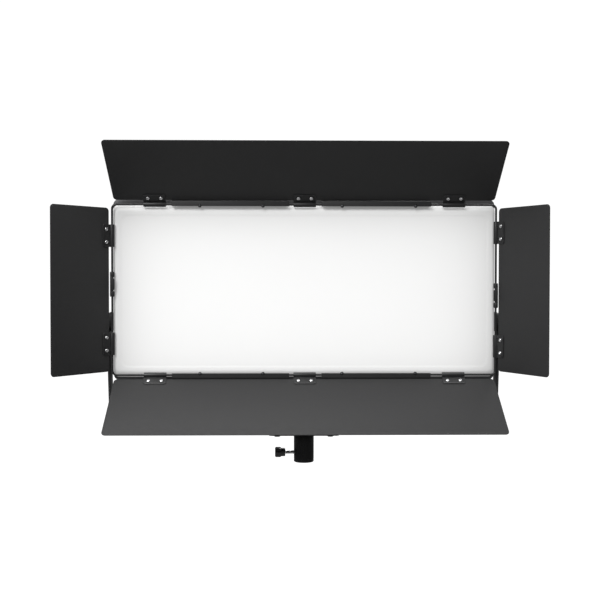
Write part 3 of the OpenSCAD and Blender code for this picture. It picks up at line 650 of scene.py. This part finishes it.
def rails():
    """Lipped accessory rails bent from sheet, with round ears for the pins."""
    bm = bmesh.new()
    # Ends of each rail, and the places of its two pins.
    spans = ((-213, -25, (-168, -67)), (27, 203, (60, 178)))
    front = WIRE_Y - 4 * MM
    half = SHEET / 2
    wire_z = wire_high.z - WIRE_R - PANEL_Z
    lip_low = wire_z - 2.8 * MM
    web = wire_z + 6 * MM - half
    back = rim_low.y - half
    foot = HOUSING_H / 2 - 0.2 * MM
    path = [(front + half, lip_low), (front + half, web), (back, web), (back, foot)]
    outline = strip(rounded(path, 1.7 * MM, 5, closed=False), SHEET)
    head = mm((0.5, -1), (1.3, -0.9), (1.8, -0.55), (2, 0), (0.9, 0))
    head.append((0.9 * MM, SHEET + 0.3 * MM))
    pins = bmesh.new()
    for way in (1, -1):
        flip = move(0, 0, PANEL_Z) @ Matrix.Scale(way, 4, (0, 0, 1))
        # The sheet's outline has depth and height, and is drawn along X.
        along = flip @ ALONG
        for x0, x1, ears in spans:
            slab(bm, outline, x0 * MM, x1 * MM, 0.3 * MM, along)
            for x in ears:
                z = lip_low + 0.6 * MM
                ear = flip @ move(x * MM, front, z) @ UPRIGHT
                slab(bm, disc(2.9, 24), 0, SHEET, 0.25 * MM, ear)
                lathe(pins, head, ear, 24)
    # The rails take the darker copy of the housing paint, as painted shade.
    piece("rail_strips", bm, HEAD, "housing_paint", "accessory_rails", look="rail_black_painted_shade")
    piece("rail_pins", pins, HEAD, "dark_steel", "rail_rivets")


# ---------- leaves, clips and their screws ----------

def door_place(side, hinge):
    """Places a leaf's drawing: +X along the hinge, +Y outwards, +Z towards the light."""
    joint = JOINTS[hinge]
    opened = joint["range_deg"][1] - BACK_SWING
    turn = Matrix.Rotation(math.radians(-90 * side), 4, "Y")
    lean = Matrix.Rotation(math.radians(90 + opened), 4, "X")
    return Matrix.Translation(joint["pos_m"]) @ turn @ lean


def leaf(name, node, body, place, gap, length, half, lift):
    """Sheet leaf with round corners, wider at its outer edge."""
    r = LEAF_CORNER
    spots = [(half[0] - r, gap + r, -90), (half[1] - r, length - r, 0),
             (r - half[1], length - r, 90), (r - half[0], gap + r, 180)]
    outline = []
    for x, y, start in spots:
        outline += arc(x, y, r, start, start + 90, 7)
    bm = solid(slab, outline, -lift - SHEET, -lift, 0.4 * MM, place)
    piece(name, bm, body, "leaf_black", node)


def clip_template(lift):
    """A sheet clip rolled round the wire, with a seam beside its plate."""
    top = SHEET - lift
    low = -lift
    start = math.degrees(math.asin(top / BARREL_R))
    seam = math.degrees(math.asin(max(-0.95, low / CLIP_BORE)))
    end = 360 + seam - SEAM_OPEN
    outline = [(6 * MM, low), (6 * MM, top)]
    outline += arc(0, 0, BARREL_R, start, end, 26)
    outline += arc(0, 0, CLIP_BORE, end - 4, seam + 3, 22)
    half = CLIP_LENGTH / 2
    roll = solid(slab, outline, -half, half, 0.25 * MM, ALONG)
    r = 3 * MM
    outline = [(-half, 4.6 * MM), (half, 4.6 * MM)]
    outline += arc(half - r, CLIP_REACH - r, r, 0, 90, 5)
    outline += arc(r - half, CLIP_REACH - r, r, 90, 180, 5)
    slab(roll, outline, low, top, 0.25 * MM)
    return roll


def screw_template(head_r, head_h, shank_l):
    """Pan head with a cross recess, standing on z = 0, and its shank below."""
    dome = [(head_r * 0.3, -0.05 * MM), (head_r * 0.97, 0), (head_r, 0.12 * MM)]
    for share, height in ((1, 0.45), (0.94, 0.7), (0.8, 0.88), (0.55, 0.98), (0.2, 1)):
        dome.append((head_r * share, head_h * height))
    a = head_r * 0.6
    b = head_r * 0.15
    plus = [(a, -b), (a, b), (b, b), (b, a), (-b, a), (-b, b),
            (-a, b), (-a, -b), (-b, -b), (-b, -a), (b, -a), (b, -b)]
    cross = solid(slab, plus, head_h * 0.35, head_h * 1.3, CRISP, steps=1)
    bm = carve(solid(lathe, dome, count=32), cross)
    shank = [(1.5 * MM, 0.02 * MM), (1.5 * MM, 0.3 * MM - shank_l), (1.2 * MM, -shank_l)]
    lathe(bm, shank, count=20)
    return bm


def hex_nut(bm, across, height, z, bore, place=Matrix()):
    """Nut with chamfered corners, open for its bolt."""
    rings = []
    turns = [TURN * i / 24 for i in range(24)]
    corner = across / math.cos(math.pi / 6)
    for r, dz in ((across, 0), (corner, 0.25 * height), (corner, 0.75 * height), (across, height)):
        ring = []
        for a in turns:
            flat = across / math.cos((a + math.pi / 6) % (math.pi / 3) - math.pi / 6)
            reach = min(r, flat)
            ring.append(place @ Vector((reach * math.cos(a), reach * math.sin(a), z + dz)))
        rings.append(ring)
    for dz in (height, 0):
        hole = [Vector((bore * math.cos(a), bore * math.sin(a), z + dz)) for a in turns]
        rings.append([place @ p for p in hole])
    skin(bm, rings, wrap=True)


def door(side, word, length, gap, half, lift, clips):
    """One leaf with its clips, screws and nuts."""
    place = door_place(side, word + "_door_hinge")
    body = word + "_door"
    leaf(word + "_leaf_sheet", word + "_leaf", body, place, gap, length, half, lift)
    spots = [place @ move(x, 0, 0) for x in clips]
    piece(word + "_rolled_clips", copies(clip_template(lift), spots), body, "clip_black",
          word + "_hinge_clips")
    screw = screw_template(2.8 * MM, 1.5 * MM, 2 * SHEET + 2.8 * MM)
    hex_nut(screw, 2.75 * MM, 2.2 * MM, -2 * SHEET - 2.2 * MM, 1.52 * MM)
    screws = []
    for x in clips:
        for s in (-1, 1):
            turn = Matrix.Rotation(math.radians(7 * x / MM + 20 * s), 4, "Z")
            spot = move(x + s * SCREW_GAP / 2, SCREW_REACH, SHEET - lift)
            screws.append(place @ spot @ turn)
    piece(word + "_pan_screws", copies(screw, screws), body, "plated_steel", word + "_hinge_screws")


def doors():
    """The long leaves lie over the short ones when all are shut, so they stand farther out."""
    long_half = (WIRE_W / 2 - 2.7 * MM, WIRE_W / 2 + 5.1 * MM)
    short_half = (WIRE_H / 2 - 5.65 * MM, WIRE_H / 2 - 3.95 * MM)
    for side, word in ((0, "top"), (2, "bottom")):
        door(side, word, LONG_LEAF, 7.5 * MM, long_half, 1.7 * MM, LONG_CLIPS)
    for side, word, clips in ((1, "left", LEFT_CLIPS), (3, "right", RIGHT_CLIPS)):
        door(side, word, SHORT_LEAF, 6.2 * MM, short_half, 0, clips)


# ---------- side catches ----------

def catch(word, way):
    """Clip that turns on the wire: two knuckles, a plate between them and a hooked leg behind."""
    joint = JOINTS[word + "_catch_hinge"]
    place = Matrix.Translation(joint["pos_m"]) @ Matrix.Scale(way, 4, (1, 0, 0))
    bm = bmesh.new()
    bore = CLIP_BORE / MM
    for z in (-15.6, 15.6):
        bulge = from_base(z, (bore, -4.4), (2.9, -4.4), (3.5, -3.9), (3.75, -2.6), (3.8, 0),
                          (3.75, 2.6), (3.5, 3.9), (2.9, 4.4), (bore, 4.4))
        lathe(bm, bulge, place, 32, wrap=True)
    # The plate between the knuckles narrows towards its tab, which stands clear of the wire.
    plate = mm((-3.2, -12.6), (-1.2, -12.6), (4.2, -8.2), (4.2, 8.2), (-1.2, 12.6), (-3.2, 12.6))
    slab(bm, rounded(plate, 1.6 * MM, 3), -3.9 * MM, -2.5 * MM, 0.3 * MM, place @ UPRIGHT)
    box(bm, (-3.2 * MM, -3.9 * MM, -16 * MM), (-1.9 * MM, 1.1 * MM, 16 * MM), 0.3 * MM, place)
    path = mm((-2.55, -3.4), (-2.55, 22.9), (-0.3, 22.9))
    leg = strip(rounded(path, 1.6 * MM, 4, closed=False), 1.3 * MM)
    slab(bm, leg, -7.5 * MM, 7.5 * MM, 0.3 * MM, place)
    piece(word + "_catch_clip", bm, word + "_catch", "clip_black", "catch_" + word)


def catches():
    """The two catches, and the short bars on the housing's ends that they hook."""
    catch("left", 1)
    catch("right", -1)
    low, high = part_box("catch_keepers")
    bm = bmesh.new()
    for s in (-1, 1):
        x = s * (HOUSING_W / 2 + 0.75 * MM)
        z = PANEL_Z - s * 9 * MM
        box(bm, (x - 0.75 * MM, low.y, z - 8 * MM), (x + 0.75 * MM, high.y, z + 8 * MM), 0.35 * MM)
    piece("catch_keeper_bars", bm, HEAD, "plated_steel", "catch_keepers")


# ---------- yoke, receiver and locks ----------

def yoke():
    """Flat bar bent into a U, with round ends at the tilt axis, on its base plate."""
    half = ARM_X + YOKE_T / 2
    foot = YOKE_Z + YOKE_T / 2
    turns = [(-half, PIVOT_Z), (-half, PIVOT_Z - 24 * MM), (-half + 4 * MM, foot), (0, foot)]
    bent = rounded(turns, YOKE_BEND, 12, closed=False)
    reach = YOKE_W / 2
    tip = [Vector((-half, PIVOT_Z + reach * math.sin(math.radians(a))))
           for a in (89, 82, 74, 65, 55, 45, 35, 25, 15, 5)]
    left = tip + bent[:-1]
    path = left + [bent[-1]] + [Vector((-p.x, p.y)) for p in reversed(left)]
    rings = []
    for i, p in enumerate(path):
        ahead = path[min(i + 1, len(path) - 1)] - path[max(i - 1, 0)]
        side = Vector((-ahead.y, ahead.x)).normalized()
        rise = max(0, p.y - PIVOT_Z)
        width = 2 * math.sqrt(max(0, reach ** 2 - rise ** 2))
        r = min(1.1 * MM, width / 2.2)
        ring = []
        for q in round_rect(YOKE_T, width, r, 3):
            spot = p + side * q.x
            ring.append(Vector((spot.x, q.y, spot.y)))
        rings.append(ring)
    piece("yoke_bar", solid(skin, rings), "yoke", "black_steel", "yoke")
    bm = solid(slab, round_rect(116 * MM, YOKE_W, 6 * MM), RECEIVER_L, YOKE_Z, 0.4 * MM)
    piece("yoke_base_plate_sheet", bm, "yoke", "black_steel", "yoke_base_plate")
    top = YOKE_Z + YOKE_T
    head = mm((0.5, 0), (9.6, 0), (10, 0.4), (10, 1.3), (9.7, 1.6), (8, 1.7), (8, 8.8), (7.4, 9.5),
              (0.5, 9.6))
    socket = solid(slab, disc(4.6, 6), 5 * MM, 12 * MM, 0.02 * MM, at(0, 0, top))
    bolts = carve(solid(lathe, head, at(0, 0, top)), socket)
    shank = mm((0.4, -8.4), (2.6, -8.4), (2.9, -8), (2.9, 3), (2.3, 3.6), (0.4, 3.6))
    button = mm((0.4, 0), (4.3, 0), (5.1, 0.8), (5.2, 2.6), (4.8, 3), (0.4, 3))
    for x in (-44 * MM, 44 * MM):
        hex_nut(bolts, 5 * MM, 4 * MM, 0, 2.9 * MM, at(x, 0, top))
        lathe(bolts, shank, at(x, 0, top), 24)
        lathe(bolts, button, at(x, 0, RECEIVER_L - 3 * MM), 32)
    piece("yoke_bolts", bolts, "yoke", "dark_steel", "receiver_bolts")


def receiver():
    """Turned tube with a chamfered mouth, a small groove and a cross hole for the lock screw."""
    r = RECEIVER_R / MM
    bore = STUD_R / MM
    profile = mm((bore, 0.8), (bore + 0.8, 0), (r - 1.5, 0), (r - 1.1, 0.15), (r - 0.2, 1.0),
                 (r, 1.5), (r, 4.1), (r - 0.15, 4.2), (r - 0.5, 4.3), (r - 0.5, 5), (r - 0.15, 5.1),
                 (r, 5.2), (r, 43.4), (r - 0.3, 44.2), (r - 0.9, 44.5), (5.05, 44.5),
                 (5.05, 36), (bore, 36))
    hole = solid(lathe, mm((3, 5), (3, 20)), at(0, 0, LOCK_Z, (-1, 0, 0)), 40)
    bm = carve(solid(lathe, profile, count=96, wrap=True), hole)
    piece("receiver_tube", bm, "yoke", "black_cast", "receiver")


def lock_screw():
    """Thumb screw: a brass pad, a threaded stem and a lobed knob."""
    place = at(0, 0, LOCK_Z, (-1, 0, 0))
    tip = STUD_R / MM + 0.25
    pad = from_base(tip, (0.3, 0), (1.9, 0), (2.3, 0.3), (2.4, 0.8), (2.4, 3), (0.3, 3))
    piece("lock_pad_tip", solid(lathe, pad, place, 32), "lock_pad", "brass", "receiver_lock_pad")
    start = tip + 3.05
    thread = [(0.4, start), (2.4, start), (2.9, start + 0.6)]
    z = start + 1
    while z < 30:
        thread += [(2.55, z), (2.9, z + 0.5)]
        z += 1
    thread += [(2.9, 31), (2.9, 38.7), (0.4, 38.7)]
    stem = solid(lathe, mm(*thread), place, 32)
    piece("lock_thread", stem, "lock_screw", "plated_steel", "receiver_lock_stem")
    knob = mm((3, 30.7), (5.9, 30.7), (6.6, 31), (7, 31.6), (7, 37.4), (7.3, 38), (7.9, 38.3),
              (8.1, 39), (8.1, 46.2), (7.6, 47.2), (6.6, 47.7), (3.5, 47.7), (3, 47.2), (0.4, 47.2))

    def grip(h):
        return 1 if 38.2 * MM < h < 46.5 * MM else 0

    bm = solid(lathe, knob, place, 96, lobes=8, depth=0.5 * MM, grip=grip)
    piece("lock_knob", bm, "lock_screw", "knob_plastic", "receiver_lock_knob")


def tilt_locks():
    """Bosses, friction discs, washers, bolts and lobed knobs on the tilt axis."""
    bosses = bmesh.new()
    discs = bmesh.new()
    side = HOUSING_W / 2 / MM
    arm = (ARM_X + YOKE_T) / MM
    hub = HUB_X / MM

    def grip(h):
        """Lobes only between the knob's neck and its cap, fading at both ends."""
        return max(0, min(1, (h / MM - hub - 6) / 1.2, (hub + 20.9 - h / MM) / 1.2))

    for s, word in ((-1, "left"), (1, "right")):
        place = at(0, 0, PIVOT_Z, (s, 0, 0))
        boss = from_base(side, (4.05, 0), (16, 0), (16, 1), (15, 1.6), (14.6, 2.4), (14.6, 5.4),
                         (15.4, 6.3), (16, 6.8), (16, 8.1), (15.6, 8.5), (4.05, 8.5))
        lathe(bosses, boss, place, 64, wrap=True)
        disc = from_base(side + 8.5, (4.2, 0), (15.7, 0), (16, 0.3), (16, 1.7), (15.7, 2), (4.2, 2))
        lathe(discs, disc, place, 64, wrap=True)
        washer = from_base(arm, (4.05, 0), (10.6, 0), (11, 0.3), (11, 1.2), (10.6, 1.6),
                           (4.05, 1.6))
        bm = solid(lathe, washer, place, 56, wrap=True)
        piece("tilt_washer_" + word, bm, "washer_" + word, "plated_steel", "clamp_washer_" + word)
        bolt = from_base(side, (0.4, 1.2), (3.4, 1.2), (4, 1.8))
        bolt += from_base(hub, (4, 11.3), (3.6, 11.9), (0.4, 11.9))
        bm = solid(lathe, bolt, place, 40)
        piece("tilt_stud_" + word, bm, "tilt_lock_" + word, "plated_steel", "tilt_bolt_" + word)
        knob = from_base(hub, (4.03, 0), (9, 0), (9.5, 0.5), (9.5, 5), (10.6, 6), (14.2, 6.4),
                         (15.9, 7.2), (16.3, 8.6), (16.3, 18.6), (15.8, 19.9), (14.4, 20.8),
                         (11, 21), (10.2, 21.3), (9.8, 22), (8.8, 22.2), (7.4, 21.5), (0.4, 21.3),
                         (0.4, 12.1), (4.03, 12.1))
        bm = solid(lathe, knob, place, 96, wrap=True, lobes=6, depth=1.7 * MM, grip=grip)
        piece("tilt_grip_" + word, bm, "tilt_lock_" + word, "knob_plastic", "tilt_knob_" + word)
    piece("tilt_bosses", bosses, HEAD, "black_steel", "pivot_bosses")
    piece("tilt_friction_discs", discs, HEAD, "friction", "friction_washers")


# ---------- housing and heat sink ----------

def housing():
    """Folded shell with rounded back edges and a flange turned in behind."""
    t = 1.5 * MM
    bend = 3 * MM
    flange = 14 * MM
    # Each step has its cut on every side, its corner radius and its depth.
    steps = [(0, HOUSING_R, shell_low.y)]
    for k in range(6):
        a = math.pi / 2 * k / 5
        cut = bend * (1 - math.cos(a))
        steps.append((cut, HOUSING_R - cut / 2, BACK_Y - bend * (1 - math.sin(a))))
    steps += [(flange, 4 * MM, BACK_Y), (flange, 4 * MM, BACK_Y - t),
              (2 * t, HOUSING_R - 2 * t, BACK_Y - t), (t, HOUSING_R - t, BACK_Y - 2 * t),
              (t, HOUSING_R - t, shell_low.y)]
    bm = solid(skin, [housing_ring(*step) for step in steps], wrap=True)
    piece("lamp_shell", bm, HEAD, "housing_paint", "housing_shell")


def heat_sink():
    """Plate with tapered round-tipped fins each side of the control box, and its screws."""
    plate = round_rect(HOUSING_W - 1 * MM, HOUSING_H - 1 * MM, HOUSING_R)
    place = move(0, 0, PANEL_Z) @ UPRIGHT
    bm = solid(slab, plate, BACK_Y, BOX_Y, 0.5 * MM, place)
    half_z = (HOUSING_H - 36 * MM) / 2
    fin = mm((-1.3, -0.05), (1.3, -0.05), (1.05, 1.2), (0.7, 13.2), (0.35, 13.9), (-0.35, 13.9),
             (-0.7, 13.2), (-1.05, 1.2))
    first = 126 * MM
    pitch = 9 * MM
    count = int((HOUSING_W / 2 - 14 * MM - first) / pitch) + 1
    for i in range(count):
        for s in (-1, 1):
            spot = move(s * (first + i * pitch), BOX_Y, PANEL_Z)
            slab(bm, fin, -half_z, half_z, 0.25 * MM, spot, 2)
    standoff = mm((0.4, 0), (4, 0), (4, 36.8), (3.4, 37.3), (0.4, 37.3))
    spots = [(sx * STANDOFF_X, PANEL_Z + sz * STANDOFF_Z) for sx in (-1, 1) for sz in (-1, 1)]
    for x, z in spots:
        lathe(bm, standoff, at(x, BOX_Y - 0.02 * MM, z, (0, 1, 0)), 24)
    piece("heat_sink_fins", bm, HEAD, "black_aluminium", "heat_sink")
    edge = 7.5 * MM
    places = []
    # Each screw's cross is turned by its own amount, as if driven home by hand.
    for k, part in enumerate((-1, -0.62, -0.24, 0.24, 0.62, 1)):
        for s in (-1, 1):
            x = part * (HOUSING_W / 2 - edge)
            z = PANEL_Z + s * (HOUSING_H / 2 - edge)
            turn = Matrix.Rotation(0.7 * k + 0.4 * s, 4, "Z")
            places.append(at(x, BOX_Y, z, (0, 1, 0)) @ turn)
    for k, (x, z) in enumerate(spots):
        places.append(at(x, BOX_BACK, z, (0, 1, 0)) @ Matrix.Rotation(0.5 * k + 0.3, 4, "Z"))
    screws = copies(screw_template(2.9 * MM, 1.8 * MM, 4.4 * MM), places)
    piece("back_screws", screws, HEAD, "dark_steel", "housing_screws")


# ---------- control box ----------

def on_back(x, z):
    """Matrix at a spot on the box's back face: +Z out of the face and +X across it."""
    return move(x, BOX_BACK, z) @ UPRIGHT


def control_box():
    """Moulded box with rounded back edges, vents and the openings for its controls."""
    t = 2.5 * MM

    def ring(cut, y, shrink=0.0):
        less = 2 * (cut + shrink)
        return ring_y(round_rect(BOX_W - less, BOX_H - less, 10 * MM - shrink), y)

    edge = mm((0, 4.2), (0.35, 2.6), (1.1, 1.2), (2.2, 0.3), (3.5, 0))
    outside = [ring(0, BOX_Y)] + [ring(a, BOX_BACK - b) for a, b in edge]
    inside = [ring(a, BOX_BACK - t - b, t) for a, b in edge[::-1]] + [ring(0, BOX_Y, t)]
    cuts = bmesh.new()
    tall = round_rect(8 * MM, 14 * MM, 1.2 * MM, 3)
    flat = round_rect(20 * MM, 3 * MM, 0.6 * MM, 3)
    for s in (-1, 1):
        for i in range(-5, 6):
            spot = move(i * 15 * MM, BOX_Y + 19 * MM, PANEL_Z + s * BOX_H / 2)
            slab(cuts, tall, -5 * MM, 5 * MM, CRISP, spot, 1)
        for i in range(-3, 4):
            spot = move(s * BOX_W / 2, BOX_Y + 18 * MM, PANEL_Z + i * 12 * MM)
            slab(cuts, flat, -5 * MM, 5 * MM, CRISP, spot @ ALONG, 1)
    holes = [(DISPLAY_X, KNOB_Z, round_rect(DISPLAY_W, DISPLAY_H, 1 * MM, 3)),
             (INLET_X, SOCKET_Z, round_rect(28.4 * MM, 21.4 * MM, 1 * MM, 3)),
             (ROCKER_X, SOCKET_Z, round_rect(19.2 * MM, 24.2 * MM, 1 * MM, 3))]
    holes += [(x, KNOB_Z, disc(4.6)) for x in KNOB_X]
    holes += [(x, BUTTON_Z, disc(4.9)) for x in KNOB_X]
    holes += [(x, SOCKET_Z, disc(11.9, 60)) for x in DATA_X]
    for x, z, outline in holes:
        slab(cuts, outline, -6 * MM, 6 * MM, CRISP, on_back(x, z), 1)
    bm = carve(solid(tub, outside, inside), cuts)
    piece("control_case", bm, HEAD, "box_plastic", "control_box", crease=32)


def fascia():
    """Overlay with the display's opening, and short engraved dial marks round the two knobs."""
    sheet = round_rect(196 * MM, 88 * MM, 5 * MM)
    bm = solid(slab, sheet, 0, FASCIA_T, 0.4 * MM, on_back(0, FASCIA_Z))
    display = on_back(DISPLAY_X, KNOB_Z)
    opening = round_rect(DISPLAY_W, DISPLAY_H, 1.5 * MM, 4)
    cuts = solid(slab, opening, -2 * MM, 4 * MM, CRISP, display, 1)
    for x in KNOB_X:
        for z, r in ((KNOB_Z, 4.6), (BUTTON_Z, 4.8)):
            slab(cuts, disc(r), -2 * MM, 4 * MM, CRISP, on_back(x, z), 1)
        for k in range(11):
            turn = Matrix.Rotation(math.radians(-150 + 30 * k), 4, "Z")
            mark = on_back(x, KNOB_Z) @ turn
            start = 12.6 * MM
            end = (12.6 + (3.4 if k % 5 == 0 else 2)) * MM
            box(cuts, (-0.35 * MM, start, 1.1 * MM), (0.35 * MM, end, 3 * MM), 0.02 * MM, mark)
    bm = carve(bm, cuts)
    piece("control_overlay", bm, HEAD, "fascia", "control_fascia")
    glass = round_rect(DISPLAY_W - 0.4 * MM, DISPLAY_H - 0.4 * MM, 1.3 * MM, 4)
    bm = solid(slab, glass, -0.6 * MM, 1.2 * MM, 0.35 * MM, display)
    piece("display_glass", bm, HEAD, "screen", "display_window")


def knobs():
    """Fluted encoder knobs with a pointer groove, on their shafts."""
    base = FASCIA_T / MM + 0.6
    top = base + 15
    profile = from_base(base, (3.05, 0.4), (3.4, 0), (10.6, 0), (10.9, 0.4), (10.9, 1.6),
                        (10.5, 2.2))
    profile += from_base(top, (10.4, -2.6), (10.2, -1.6), (9.4, -0.4), (8.6, 0), (6.8, 0),
                         (6.2, -0.5), (0.4, -0.7))
    profile += from_base(base, (0.4, 8.2), (3.05, 8.2))
    shaft = mm((0.4, -6.5), (2.6, -6.5), (3, -6), (3, base + 8), (0.4, base + 8))

    def grip(z):
        return 1 if (base + 1.9) * MM < z < (top - 1.8) * MM else 0

    for word, x in zip(("dimmer", "colour"), KNOB_X):
        place = on_back(x, KNOB_Z)
        bm = solid(lathe, profile, place, 192, wrap=True, lobes=24, depth=0.35 * MM, grip=grip)
        low = (-0.6 * MM, 3.2 * MM, (top - 1.4) * MM)
        high = (0.6 * MM, 9.2 * MM, (top + 2) * MM)
        bm = carve(bm, solid(box, low, high, 0.02 * MM, place))
        lathe(bm, shaft, place, 32)
        piece(word + "_dial", bm, word, "knob_plastic", word + "_knob", crease=45)


def buttons():
    """Round push buttons with a dished face and a collar inside the box."""
    profile = mm((0.3, -4.1), (1.3, -4.1), (1.5, -3.6), (5.8, -3.6), (5.9, -3.4), (5.9, -2.8),
                 (5.7, -2.6), (4.5, -2.5), (4.5, 2.8), (4.3, 3.25), (3.9, 3.45), (2.4, 3.3),
                 (0.3, 3.2))
    for word, x in zip(("mode", "menu"), KNOB_X):
        bm = solid(lathe, profile, on_back(x, BUTTON_Z))
        piece(word + "_push_button", bm, word + "_key", "button_grey", word + "_button")


def rocker():
    """Rocker switch: a bezel with a deep opening and the rocker on its two stub pins."""
    place = on_back(ROCKER_X, SOCKET_Z)

    def ring(w, h, r, z):
        return [place @ Vector((p.x, p.y, z * MM)) for p in round_rect(w * MM, h * MM, r * MM, 4)]

    steps = [(14.6, 20, 0.8, 1.3), (15.2, 20.6, 1, 1.9), (21.4, 26.4, 1.6, 1.9),
             (22.6, 27.6, 1.8, 1.5), (23, 28, 1.8, 0.9), (23, 28, 1.8, 0), (18.8, 23.8, 0.9, 0),
             (18.8, 23.8, 0.9, -13.6), (18, 23, 0.9, -14)]
    outside = [ring(*step) for step in steps]
    inside = [ring(13.6, 18.8, 0.6, -11), ring(13.6, 18.8, 0.6, 1)]
    pins = solid(lathe, mm((1.55, -8), (1.55, 8)), place @ at(0, 0, -1 * MM, (1, 0, 0)), 24)
    bm = carve(solid(tub, outside, inside), pins)
    piece("rocker_frame", bm, HEAD, "knob_plastic", "rocker_bezel")
    tilt = at(ROCKER_X, BOX_BACK - 1 * MM, SOCKET_Z) @ Matrix.Rotation(math.radians(11), 4, "X")
    face = mm((-3, 8.3), (-3, -8.3), (2, -8.7), (6.2, -6.5), (6.3, -6.2), (4.6, -3), (3.65, 0),
              (4.6, 3), (6.3, 6.2), (6.2, 6.5), (2, 8.7))
    bm = solid(slab, rounded(face, 0.5 * MM, 3), -6.45 * MM, 6.45 * MM, 0.5 * MM, tilt @ ALONG)
    pin = mm((0.3, -7.8), (1.2, -7.8), (1.5, -7.4), (1.5, 7.4), (1.2, 7.8), (0.3, 7.8))
    lathe(bm, pin, tilt @ turned((1, 0, 0)), 24)
    piece("rocker_cap", bm, "rocker", "knob_plastic", "power_rocker")


def inlet():
    """Power inlet: a flange with two screw holes, and the cup behind it."""
    flange = []
    for s in (1, -1):
        flange += [(s * p.x, s * p.y) for p in arc(20 * MM, 0, 5 * MM, -60, 60, 8)]
        flange += mm((s * 15, s * 12), (s * -15, s * 12))
    mouth = rounded(mm((-12, -8), (12, -8), (12, 4), (8, 8), (-8, 8), (-12, 4)), 1 * MM, 3)
    holes = solid(slab, mouth, -1 * MM, 6 * MM, 0.02 * MM)
    for x in (-20 * MM, 20 * MM):
        lathe(holes, mm((1.6, -1), (1.6, 1.2), (2.9, 2.6)), at(x, 0, 0), 24)
    shell = carve(solid(slab, flange, 0, 2 * MM, 0.4 * MM), holes)
    cup = solid(slab, round_rect(28 * MM, 21 * MM, 1 * MM, 3), -20 * MM, 0.5 * MM)
    hollow = solid(slab, mouth, -16 * MM, 6 * MM, 0.02 * MM)
    add(shell, carve(cup, hollow))
    bm = copies(shell, [on_back(INLET_X, SOCKET_Z)])
    piece("inlet_shell", bm, HEAD, "knob_plastic", "power_inlet")


def data_sockets():
    """The two round data sockets: a plate with two screw holes, and a barrel behind it."""
    plate = solid(slab, round_rect(26 * MM, 31 * MM, 3 * MM), 0, 2 * MM, 0.5 * MM)
    holes = solid(lathe, mm((9.2, -2), (9.2, 1.4), (9.9, 2.4)), count=64)
    for s in (-1, 1):
        lathe(holes, mm((1.6, -1), (1.6, 1.3), (2.4, 2.3)), at(s * 9.5 * MM, s * 12 * MM, 0), 20)
    shell = carve(plate, holes)
    barrel = mm((11.6, 0.1), (11.6, -17.6), (11.2, -18), (0.4, -18), (0.4, -13), (9.2, -13),
                (9.2, 0.1))
    lathe(shell, barrel, count=64, wrap=True)
    spots = [on_back(x, SOCKET_Z) for x in DATA_X]
    piece("data_shells", copies(shell, spots), HEAD, "clip_black", "dmx_sockets")


# ---------- stage, light and camera ----------

def camera():
    """Long lens almost square to the panel, from a little left of its middle and above it."""
    data = bpy.data.cameras.new("camera")
    data.lens = 67.2
    data.sensor_width = 36
    data.clip_start = 0.05
    data.clip_end = 60
    obj = bpy.data.objects.new("camera", data)
    obj.location = (-0.0462, -1.848, PANEL_Z + 0.0287)
    down = 1.43
    roll = -0.04
    right = 1.23
    obj.rotation_euler = (math.radians(90 - down), math.radians(roll), math.radians(-right))
    scene.collection.objects.link(obj)
    scene.camera = obj


def soft_light(name, place, width, height, power):
    """Rectangular light aimed at the panel's middle."""
    data = bpy.data.lights.new(name, "AREA")
    data.shape = "RECTANGLE"
    data.size = width
    data.size_y = height
    data.energy = power
    obj = bpy.data.objects.new(name, data)
    obj.location = place
    aim = Vector((0, 0, PANEL_Z)) - Vector(place)
    obj.rotation_euler = aim.to_track_quat("-Z", "Y").to_euler()
    scene.collection.objects.link(obj)


def sky(ambient):
    """White for the camera, and a dimmer even light for everything else."""
    world = bpy.data.worlds.new("studio")
    scene.world = world
    world.use_nodes = True
    tree = world.node_tree
    background = tree.nodes["Background"]
    path = tree.nodes.new("ShaderNodeLightPath")
    level = tree.nodes.new("ShaderNodeMix")
    level.inputs[2].default_value = ambient
    level.inputs[3].default_value = 1.05
    tree.links.new(path.outputs["Is Camera Ray"], level.inputs[0])
    tree.links.new(level.outputs[0], background.inputs["Strength"])
    background.inputs["Color"].default_value = (1, 1, 1, 1)


def floor():
    """Grey floor that the camera sees as white."""
    bm = bmesh.new()
    bmesh.ops.create_grid(bm, x_segments=2, y_segments=2, size=14)
    mesh = bpy.data.meshes.new("floor")
    bm.to_mesh(mesh)
    bm.free()
    obj = bpy.data.objects.new("floor", mesh)
    obj.location = (0, 0, -0.75)
    scene.collection.objects.link(obj)
    m = Nodes("floor")
    m.put("Base Color", (0.25, 0.25, 0.25, 1))
    m.put("Roughness", 0.8)
    m.put("Emission Color", (1, 1, 1, 1))
    seen = m.add("ShaderNodeLightPath").outputs["Is Camera Ray"]
    m.link(seen, m.shader.inputs["Emission Strength"])
    mesh.materials.append(m.material)


def studio():
    """Even light all round, with a large key light from the upper left."""
    scene.view_settings.view_transform = "Standard"
    scene.view_settings.look = "None"
    sky(0.29)
    floor()
    soft_light("key", (-2.0, -3.6, 2.9), 2.4, 2.0, 213)
    soft_light("overhead", (0, -0.9, 2.6), 2.6, 1.6, 68)
    soft_light("back", (1.4, 2.6, 2.2), 2.0, 1.6, 70)
    camera()


# ---------- carried-over parts ----------

def dress_rest():
    """Every CAD part that's still shown takes its slot's material."""
    slots = {part["node"]: part["material_slot"] for part in frame["record"]["subparts"]}
    for name, obj in frame["nodes"].items():
        if not obj.hide_render:
            obj.data.materials.clear()
            obj.data.materials.append(MATERIALS[slots[name]])


diffuser()
front_frame()
wire_frame()
rails()
doors()
catches()
yoke()
receiver()
lock_screw()
tilt_locks()
housing()
heat_sink()
control_box()
fascia()
knobs()
buttons()
rocker()
inlet()
data_sockets()
dress_rest()
studio()
